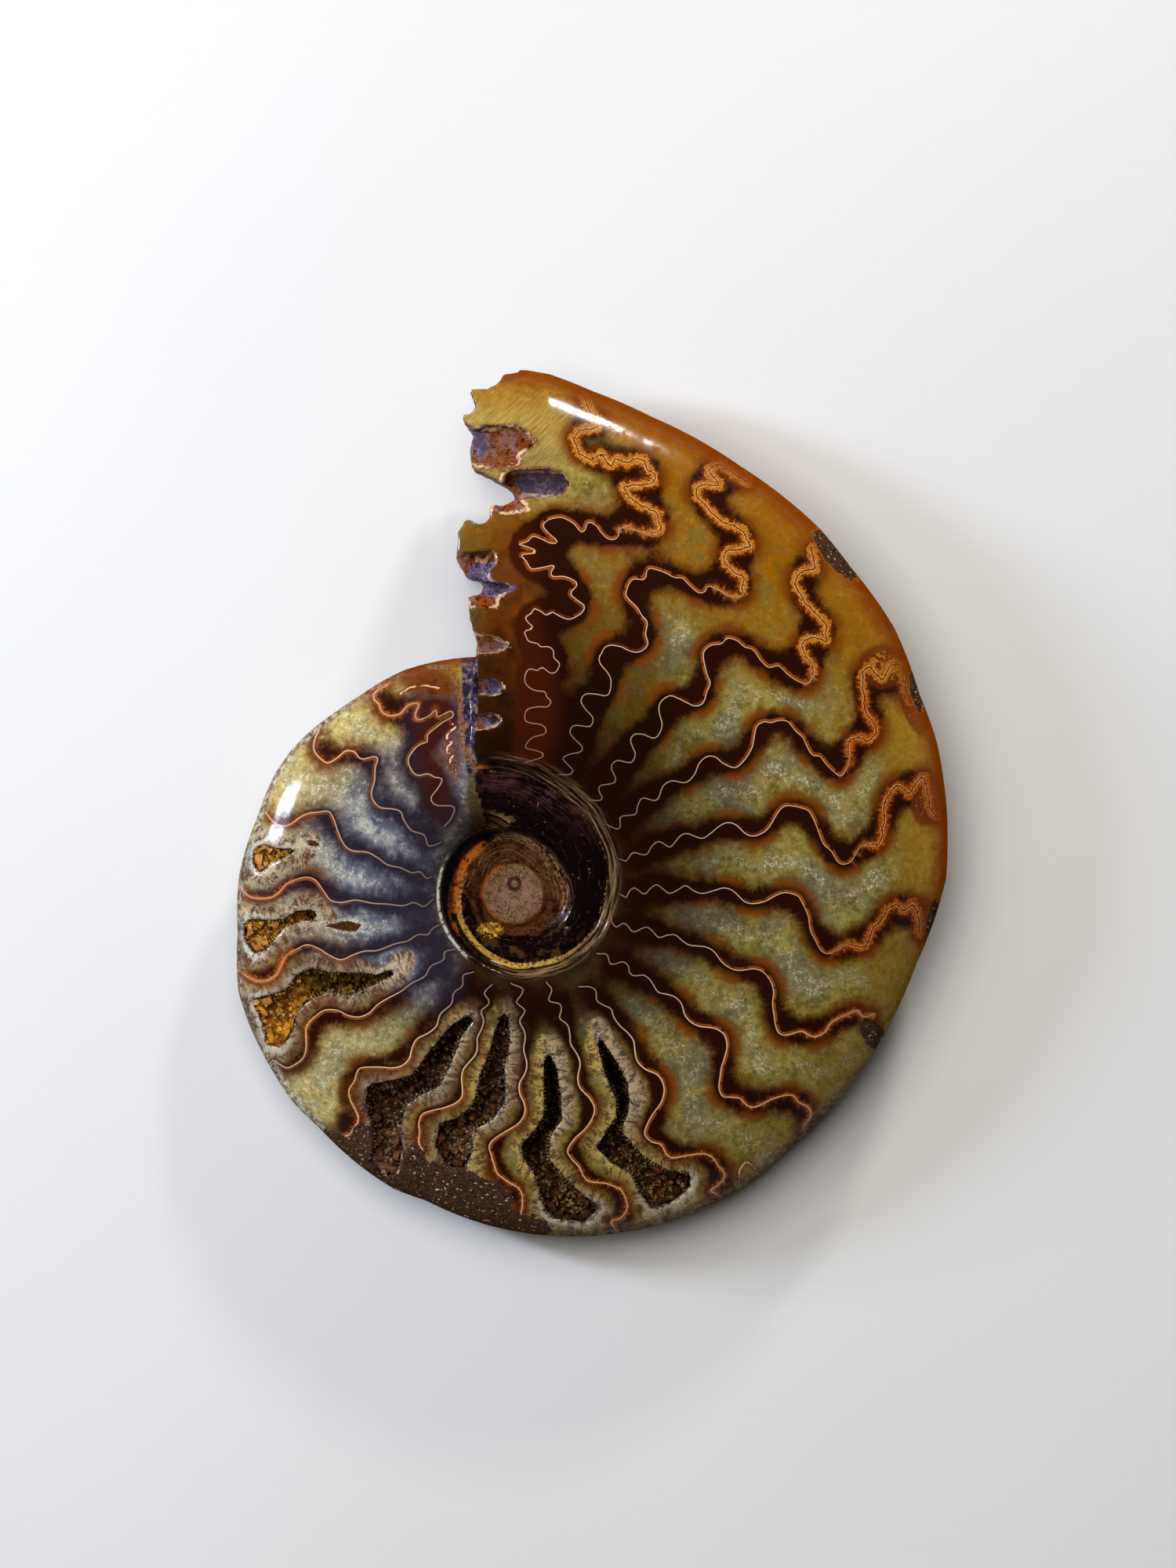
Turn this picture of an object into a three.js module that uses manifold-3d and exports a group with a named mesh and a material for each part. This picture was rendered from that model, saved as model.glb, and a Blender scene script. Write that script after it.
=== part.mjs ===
// A cut and polished cleoniceras ammonite: a fossil shell coiled in one plane, lying on its ground back.
// Units are millimetres, +Z up. The coil is built round its umbilicus and then moved, so that the origin
// is at the middle of the underside. The shell opens at +Y and winds clockwise away from its mouth.
import * as THREE from "three";
import { mergeVertices } from "three/addons/utils/BufferGeometryUtils.js";
import Module from "manifold-3d";

const wasm = await Module();
wasm.setup();

// Driving sizes
const SHELL_LENGTH = 120; // from the top of the mouth to the opposite venter
const MOUTH_HALF_THICKNESS = 12.4; // of the last whorl at its broken end
const THINNING_PER_TURN = 0.5; // how much of the thickness is left one turn further back
const MEDIAN_HEIGHT = 8.9; // of the coiling plane above the ground back, at the umbilicus
const MEDIAN_SLOPE = { x: 0.02, y: 0.057 }; // the plane leans, so that the back rests on a wide flat
const HUB_RADIUS = 4.35; // matrix plug over the first whorls
const HUB_HALF_THICKNESS = 2.8;
const END_INSET = 0.2; // of a length of the coil, where it runs into the next
const CRUST_GAP = 0.3; // between a hollow's wall and its crystals
const CRUST_SINK = 0.45; // crystal tops below the polished face
const CRYSTAL_SPACING = 2.7;
const CRYSTAL_RADIUS = 1.25;

// Places read from the picture of the object, in its pixels
const UMBILICUS_PX = [655, 1140];
const SHELL_LENGTH_PX = 1105;
const MM_PER_PX = SHELL_LENGTH / SHELL_LENGTH_PX;

// The spiral of the venter: radius in pixels at a coiling angle, and its growth for each degree
const SPIRAL = { radius: 657, degrees: 86.3, growth: 0.0022535 };
// Coiling angle in degrees, and how far the worn venter stands off the true spiral, in pixels
const VENTER_WEAR = [
  [-300, 6], [-244, 6], [-232, 0], [-226, 0], [-214, 4], [-208, 3], [-196, -5], [-184, -5], [-172, -10],
  [-160, -2], [-148, -6], [-136, -8], [-130, -13], [-112, -11], [-106, -16], [-94, -10], [-82, -5], [-64, -1],
  [-52, -3], [-43, -10], [-20, -9], [-10, -6], [2, 10], [20, 9], [26, 4], [35, 8], [44, 2], [50, 3], [62, -4],
  [74, -5], [81, 0], [86, 8], [120, 8],
];
// Coiling angle, and the radius of the umbilical shoulder and of the seam at its foot, in pixels
const UMBILICAL_WALL = [
  [-640, 43, 38], [-540, 52, 42], [-450, 62, 54], [-360, 80, 69], [-270, 88, 77], [-225, 96, 76],
  [-180, 95, 73], [-135, 97, 81], [-90, 105, 92], [-45, 119, 105], [0, 131, 121], [45, 151, 141],
  [90, 172, 163], [120, 186, 176],
];
// Share of the way up the umbilical wall, and share of the half thickness there
const WALL_PROFILE = [[0, 0], [0.1, 0.45], [0.55, 0.84]];
// Share of the way from shoulder to venter, where the flank has its corners
const FRONT_STATIONS = [0, 0.07, 0.18, 0.34, 0.5, 0.64, 0.76, 0.86, 0.93, 0.975, 1];
const BACK_STATIONS = [0, 0.18, 0.45, 0.7, 0.86, 0.94, 0.98];
const FLANK_POWER = 3.4;
const FLANK_ROUNDING = 0.6;
const SHOULDER_DROP = 0.07;
const SHOULDER_WIDTH = 0.05;

// The broken edge at the mouth, from the venter down to the umbilicus
const BROKEN_EDGE_PX = [
  [690, 430], [661, 477], [642, 481], [634, 494], [618, 500], [600, 500], [608, 520], [603, 530], [590, 531],
  [594, 543], [606, 556], [600, 575], [603, 598], [625, 609], [654, 624], [659, 640], [640, 648], [626, 646],
  [626, 667], [612, 671], [596, 664], [586, 680], [583, 715], [597, 738], [617, 741], [617, 758], [598, 763],
  [601, 790], [609, 820], [609, 840], [603, 862], [601, 890], [604, 920], [602, 950], [609, 972], [606, 1000],
];
// Bites out of the broken edge's upper side, where the folded septum dips below the face
const EDGE_BITES = [
  { depth: 5, px: [[590, 558], [620, 545], [662, 546], [686, 567], [663, 583], [667, 597], [590, 590]] },
  { depth: 7, px: [[644, 602], [700, 600], [719, 605], [728, 621], [716, 634], [690, 636], [650, 641]] },
  { depth: 4, px: [[575, 716], [600, 706], [634, 704], [630, 722], [618, 745], [580, 745]] },
  { depth: 6, px: [[600, 742], [640, 744], [662, 752], [634, 760], [600, 762]] },
  { depth: 5, px: [[596, 806], [630, 812], [654, 824], [636, 833], [596, 835]] },
  { depth: 5, px: [[594, 868], [628, 866], [645, 876], [634, 887], [594, 888]] },
  { depth: 4, px: [[594, 914], [628, 910], [643, 918], [632, 929], [594, 931]] },
];
// Bites out of its lower side, as depths below the coiling plane
const BACK_BITES_PX = [
  [[560, 520], [612, 512], [640, 540], [622, 566], [560, 570]],
  [[560, 690], [606, 680], [628, 702], [600, 726], [560, 730]],
  [[560, 776], [616, 770], [640, 790], [618, 806], [560, 812]],
  [[560, 850], [620, 846], [640, 862], [618, 880], [560, 886]],
];

// Hollows that the crystals left open in the chambers, as seen on the polished face
const HOLLOWS = [
  { name: "left_upper", depth: 4.5, seed: 11, px: [
    [323, 1085], [336, 1077], [356, 1083], [372, 1082], [384, 1083], [366, 1092], [347, 1099], [341, 1109],
    [329, 1113], [323, 1100]] },
  { name: "left_middle", depth: 5.5, seed: 23, px: [
    [312, 1181], [320, 1172], [345, 1174], [362, 1172], [380, 1162], [400, 1160], [407, 1172], [385, 1175],
    [362, 1184], [349, 1200], [338, 1212], [324, 1217], [311, 1196]] },
  { name: "left_lower", depth: 6.5, seed: 37, px: [
    [321, 1275], [350, 1268], [366, 1261], [380, 1242], [400, 1235], [425, 1241], [455, 1241], [482, 1243],
    [511, 1231], [500, 1245], [475, 1257], [446, 1270], [420, 1266], [396, 1274], [380, 1290], [374, 1314],
    [360, 1336], [340, 1333], [335, 1306]] },
  { name: "bottom_left", depth: 7.5, seed: 41, px: [
    [600, 1294], [578, 1306], [556, 1331], [541, 1350], [526, 1371], [496, 1379], [470, 1384], [466, 1410],
    [476, 1440], [477, 1466], [470, 1485], [490, 1502], [507, 1494], [513, 1466], [511, 1436], [518, 1411],
    [534, 1398], [562, 1385], [575, 1358], [589, 1322], [605, 1299]] },
  { name: "bottom_middle", depth: 7.5, seed: 59, px: [
    [643, 1290], [632, 1312], [625, 1340], [612, 1374], [604, 1408], [584, 1426], [562, 1432], [555, 1462],
    [572, 1488], [594, 1492], [603, 1468], [601, 1443], [630, 1427], [645, 1404], [644, 1362], [651, 1330],
    [650, 1300]] },
  { name: "bottom_centre", depth: 8, seed: 67, px: [
    [699, 1336], [694, 1356], [694, 1390], [694, 1424], [682, 1442], [665, 1460], [669, 1480], [684, 1503],
    [692, 1534], [704, 1554], [745, 1560], [765, 1540], [742, 1523], [718, 1499], [701, 1479], [702, 1450],
    [717, 1428], [716, 1400], [711, 1364]] },
  { name: "bottom_right", depth: 8, seed: 83, px: [
    [759, 1316], [766, 1346], [772, 1372], [785, 1400], [786, 1424], [772, 1446], [761, 1464], [780, 1484],
    [803, 1494], [816, 1520], [832, 1541], [858, 1534], [879, 1516], [880, 1497], [850, 1493], [822, 1475],
    [792, 1442], [802, 1416], [802, 1384], [788, 1356], [768, 1326]] },
];

const COLOURS = {
  shell: new THREE.Color(0.42, 0.3, 0.1),
  crystals: new THREE.Color(0.45, 0.33, 0.16),
};

// A point of the picture as millimetres from the umbilicus
const place = ([x, y]) => [(x - UMBILICUS_PX[0]) * MM_PER_PX, (UMBILICUS_PX[1] - y) * MM_PER_PX];

// The value in a column of a table at a coiling angle, eased from row to row
function tableAt(rows, degrees, column = 1) {
  const next = rows.findIndex((row) => row[0] > degrees);
  if (next === 0) return rows[0][column];
  if (next < 0) return rows[rows.length - 1][column];
  const [low, high] = [rows[next - 1], rows[next]];
  return THREE.MathUtils.lerp(low[column], high[column], (degrees - low[0]) / (high[0] - low[0]));
}

const spiralRadius = (degrees) => SPIRAL.radius * Math.exp(SPIRAL.growth * (degrees - SPIRAL.degrees));
const venterRadius = (degrees) => (spiralRadius(degrees) + tableAt(VENTER_WEAR, degrees)) * MM_PER_PX;
const shoulderRadius = (degrees) => tableAt(UMBILICAL_WALL, degrees, 1) * MM_PER_PX;
const seamRadius = (degrees) => tableAt(UMBILICAL_WALL, degrees, 2) * MM_PER_PX;
const halfThickness = (degrees) => MOUTH_HALF_THICKNESS * THINNING_PER_TURN ** ((95 - degrees) / 360);
const medianHeight = (x, y) => MEDIAN_HEIGHT + MEDIAN_SLOPE.x * x + MEDIAN_SLOPE.y * y;

// Share of the half thickness at a share of the way from the shoulder to the venter
function flankProfile(share) {
  const shoulder = 1 - SHOULDER_DROP * Math.exp(-((share / SHOULDER_WIDTH) ** 2));
  return shoulder * (1 - share ** FLANK_POWER) ** FLANK_ROUNDING;
}

// The outline of one whorl, cut through the coiling axis, as [radius, height above the coiling plane]
function whorlSection(degrees, inset = 0) {
  const [seam, shoulder, venter, half] = [
    seamRadius(degrees) + inset, shoulderRadius(degrees) + inset,
    venterRadius(degrees) - inset, halfThickness(degrees) - inset,
  ];
  const onWall = ([along, up]) => [seam + along * (shoulder - seam), up * half];
  const onFlank = (share) => [shoulder + share * (venter - shoulder), flankProfile(share) * half];
  const front = [...WALL_PROFILE.map(onWall), ...FRONT_STATIONS.map(onFlank)];
  const back = [...WALL_PROFILE.slice(1).map(onWall), ...BACK_STATIONS.map(onFlank)];
  return [...front, ...back.reverse().map(([radius, height]) => [radius, -height])];
}

// A closed mesh whose shared corners are merged, as a solid for joining and cutting
function solidOf(geometry) {
  const bare = geometry.clone();
  bare.deleteAttribute("normal");
  bare.deleteAttribute("uv");
  const merged = mergeVertices(bare, 1e-4);
  return new wasm.Manifold(new wasm.Mesh({
    numProp: 3,
    vertProperties: merged.attributes.position.array,
    triVerts: new Uint32Array(merged.index.array),
  }));
}

// A solid's corners and triangles as three.js geometry
function geometryOf(solid) {
  const mesh = solid.getMesh();
  return new THREE.BufferGeometry()
    .setAttribute("position", new THREE.BufferAttribute(new Float32Array(mesh.vertProperties), 3))
    .setIndex(new THREE.BufferAttribute(new Uint32Array(mesh.triVerts), 1));
}

// A length of the coil, swept from section to section and capped at both ends. Its two ends are drawn in
// a little, so that one length runs into the next without a doubled surface
function whorlLength(fromDegrees, toDegrees, stepDegrees) {
  const steps = Math.round((toDegrees - fromDegrees) / stepDegrees);
  const corners = whorlSection(fromDegrees).length;
  const positions = [];
  const triangles = [];
  for (let i = 0; i <= steps; i++) {
    const degrees = THREE.MathUtils.lerp(fromDegrees, toDegrees, i / steps);
    const turn = THREE.MathUtils.degToRad(degrees);
    for (const [radius, height] of whorlSection(degrees, i % steps ? 0 : END_INSET)) {
      const [x, y] = [radius * Math.cos(turn), radius * Math.sin(turn)];
      positions.push(x, y, medianHeight(x, y) + height);
    }
  }
  for (let i = 0; i < steps; i++)
    for (let j = 0; j < corners; j++) {
      const [a, b] = [i * corners + j, i * corners + ((j + 1) % corners)];
      triangles.push(a, b, a + corners, b, b + corners, a + corners);
    }
  for (const [ring, degrees, flip] of [[0, fromDegrees, false], [steps, toDegrees, true]]) {
    const outline = whorlSection(degrees).map(([radius, height]) => new THREE.Vector2(radius, height));
    for (const [a, b, c] of THREE.ShapeUtils.triangulateShape(outline, [])) {
      const [p, q, r] = [a, b, c].map((k) => ring * corners + k);
      triangles.push(...(flip ? [p, r, q] : [p, q, r]));
    }
  }
  return new THREE.BufferGeometry()
    .setAttribute("position", new THREE.Float32BufferAttribute(positions, 3))
    .setIndex(triangles);
}

// An upright prism over an outline given as [x, y] places in millimetres
function prism(outline, bottom, top) {
  const shape = new THREE.Shape(outline.map(([x, y]) => new THREE.Vector2(x, y)));
  const settings = { depth: top - bottom, bevelEnabled: false };
  return new THREE.ExtrudeGeometry(shape, settings).translate(0, 0, bottom);
}

const prismOver = (outlinePx, bottom, top) => solidOf(prism(outlinePx.map(place), bottom, top));

// The height of the polished face over a place on the last whorl
function faceHeight(x, y) {
  const radius = Math.hypot(x, y);
  let degrees = THREE.MathUtils.radToDeg(Math.atan2(y, x));
  if (degrees > 90) degrees -= 360;
  const share = (radius - shoulderRadius(degrees)) / (venterRadius(degrees) - shoulderRadius(degrees));
  return medianHeight(x, y) + halfThickness(degrees) * flankProfile(THREE.MathUtils.clamp(share, 0, 0.98));
}

// The middle of an outline's corners
function middleOf(outline) {
  const sum = outline.reduce(([sx, sy], [x, y]) => [sx + x, sy + y], [0, 0]);
  return sum.map((value) => value / outline.length);
}

// An outline drawn in by a distance, square to its edges
function drawnIn(outline, distance) {
  const count = outline.length;
  const area = outline.reduce((sum, [x, y], i) => {
    const [nextX, nextY] = outline[(i + 1) % count];
    return sum + x * nextY - nextX * y;
  }, 0);
  const inward = Math.sign(area) * distance;
  return outline.map(([x, y], i) => {
    const [bx, by] = outline[(i + count - 1) % count];
    const [cx, cy] = outline[(i + 1) % count];
    const before = new THREE.Vector2(x - bx, y - by).normalize();
    const after = new THREE.Vector2(cx - x, cy - y).normalize();
    const along = before.clone().add(after).normalize();
    const reach = inward / Math.max(0.6, along.dot(after));
    return [x - along.y * reach, y + along.x * reach];
  });
}

// Repeatable numbers between 0 and 1
function numbersFrom(seed) {
  let state = seed;
  return () => {
    state = (state * 16807) % 2147483647;
    return state / 2147483647;
  };
}

// One pointed crystal that stands on a hollow's floor and leans a little
function crystal(x, y, bottom, height, next) {
  const radius = CRYSTAL_RADIUS * (0.75 + 0.5 * next());
  const cone = new THREE.ConeGeometry(radius, height, 4).rotateX(Math.PI / 2).rotateZ(next() * Math.PI);
  cone.translate(0, 0, height / 2);
  cone.rotateX((next() - 0.5) * 0.3).rotateY((next() - 0.5) * 0.3);
  return solidOf(cone.translate(x, y, bottom));
}

// The crystals of one hollow, grown together over its floor and up its walls
function crystalCrust(hollow, loweredFace) {
  const next = numbersFrom(hollow.seed);
  const outline = drawnIn(hollow.px.map(place), CRUST_GAP);
  const top = faceHeight(...middleOf(outline));
  const floor = top - hollow.depth + CRUST_GAP;
  let crust = solidOf(prism(outline, floor, floor + 1));
  outline.forEach(([x, y], i) => {
    const [nextX, nextY] = outline[(i + 1) % outline.length];
    const count = Math.max(1, Math.round(Math.hypot(nextX - x, nextY - y) / CRYSTAL_SPACING));
    for (let k = 0; k < count; k++) {
      const share = (k + 0.5) / count;
      const height = hollow.depth * (1.05 + 0.35 * next());
      const [cx, cy] = [x + (nextX - x) * share, y + (nextY - y) * share];
      crust = crust.add(crystal(cx, cy, floor + 0.3, height, next));
    }
  });
  return crust.intersect(solidOf(prism(outline, floor, top + 5))).intersect(loweredFace);
}

// The fossil shell
function shellSolid() {
  const mouthHalf = solidOf(whorlLength(-92, 109.5, 6));
  const mouthCut = prismOver([[200, 1000], [200, 300], [690, 300], ...BROKEN_EDGE_PX], -5, 40);
  let coil = mouthHalf.subtract(mouthCut);
  for (const { depth, px } of EDGE_BITES) {
    const [x, y] = place(px[Math.floor(px.length / 2)]);
    const face = medianHeight(x, y) + MOUTH_HALF_THICKNESS * 0.9;
    coil = coil.subtract(prismOver(px, face - depth, face + 10));
  }
  for (const px of BACK_BITES_PX) {
    const [x, y] = place(px[2]);
    coil = coil.subtract(prismOver(px, -10, medianHeight(x, y) - 2));
  }
  const hub = new THREE.CylinderGeometry(HUB_RADIUS, HUB_RADIUS, HUB_HALF_THICKNESS * 2, 28)
    .rotateX(Math.PI / 2).translate(0, 0, MEDIAN_HEIGHT);
  return coil
    .add(solidOf(whorlLength(-248, -85, 6)))
    .add(solidOf(whorlLength(-606, -240, 12)))
    .add(solidOf(whorlLength(-1002, -601, 16)))
    .add(solidOf(hub))
    .intersect(solidOf(new THREE.BoxGeometry(200, 200, 60).translate(0, 0, 30)));
}

function namedMesh(name, solid, colour, roughness) {
  const material = new THREE.MeshStandardMaterial({ color: colour, roughness, metalness: 0 });
  const mesh = new THREE.Mesh(geometryOf(solid), material);
  mesh.name = name;
  return mesh;
}

const whole = shellSolid();
const loweredFace = solidOf(geometryOf(whole).translate(0, 0, -CRUST_SINK));
let hollowed = whole;
const fossil = new THREE.Group();
for (const hollow of HOLLOWS) {
  const outline = hollow.px.map(place);
  const top = faceHeight(...middleOf(outline));
  hollowed = hollowed.subtract(solidOf(prism(outline, top - hollow.depth, top + 5)));
  const crust = crystalCrust(hollow, loweredFace);
  fossil.add(namedMesh("crystals_" + hollow.name, crust, COLOURS.crystals, 0.35));
}
fossil.add(namedMesh("ammonite", hollowed, COLOURS.shell, 0.2));

// The origin goes to the middle of the underside
const box = new THREE.Box3().setFromObject(fossil);
fossil.position.set(-(box.min.x + box.max.x) / 2, -(box.min.y + box.max.y) / 2, -box.min.z);

const part = new THREE.Group();
part.add(fossil);

export default part;
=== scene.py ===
"""Dresses the polished ammonite: its shell, the crystals in its cavities, the floor, lights and camera.

Lengths are millimetres in the classes and become metres when a mesh is written. Places that were read
from the picture of the object are in its pixels and go through place().
"""

from __future__ import annotations

import logging
import math
import random
from collections.abc import Iterable
from dataclasses import dataclass, field
from enum import Enum

import bmesh
import bpy
import numpy as np
from mathutils import Matrix, Vector, noise


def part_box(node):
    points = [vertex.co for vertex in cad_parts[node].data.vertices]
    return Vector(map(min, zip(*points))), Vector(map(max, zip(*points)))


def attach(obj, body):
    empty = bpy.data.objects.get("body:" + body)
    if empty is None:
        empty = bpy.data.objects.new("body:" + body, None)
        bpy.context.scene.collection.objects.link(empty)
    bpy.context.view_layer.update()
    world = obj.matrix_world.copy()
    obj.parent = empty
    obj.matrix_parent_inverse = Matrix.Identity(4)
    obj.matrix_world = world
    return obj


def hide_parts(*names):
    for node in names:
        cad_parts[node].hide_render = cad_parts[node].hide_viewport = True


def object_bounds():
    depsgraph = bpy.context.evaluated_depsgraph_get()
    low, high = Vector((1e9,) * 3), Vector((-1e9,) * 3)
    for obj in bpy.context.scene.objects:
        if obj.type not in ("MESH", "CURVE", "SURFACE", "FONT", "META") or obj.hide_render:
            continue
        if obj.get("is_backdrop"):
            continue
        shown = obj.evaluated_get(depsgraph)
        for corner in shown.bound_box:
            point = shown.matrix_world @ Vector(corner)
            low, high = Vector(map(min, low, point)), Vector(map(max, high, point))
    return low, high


log = logging.getLogger("ammonite")

MM = 0.001
MM_PER_PX = 120 / 1105
UMBILICUS_PX = np.array([655.0, 1140.0])
UMBILICUS = np.array([-10.858, -12.375])

# The distance between the points of a smooth line, the height up to which the shell is ground flat, and
# a distance that counts as far away
LINE_SPACING = 0.12
GROUND = 0.08
FAR = 99.0
# How far from outlines, from hairlines and the shell's wall, and from the umbilicus's lines a distance is
# worked out, and the largest distance that a corner of the mesh carries
OUTLINE_REACH = 6
HAIRLINE_REACH = 3
WALL_REACH = 4
UMBILICUS_REACH = 12
MARK_LIMIT = 9
# The crowding beside one straight septum is BELL to the power of BELL_FALL times the distance squared
BELL = 2.718
BELL_FALL = -0.154
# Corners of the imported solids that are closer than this, in metres, are one corner
MERGE_M = 2e-6

Triple = tuple[float, float, float]
Pigment = tuple[float, float, float, float]
Points = tuple[tuple[float, float], ...]

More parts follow.
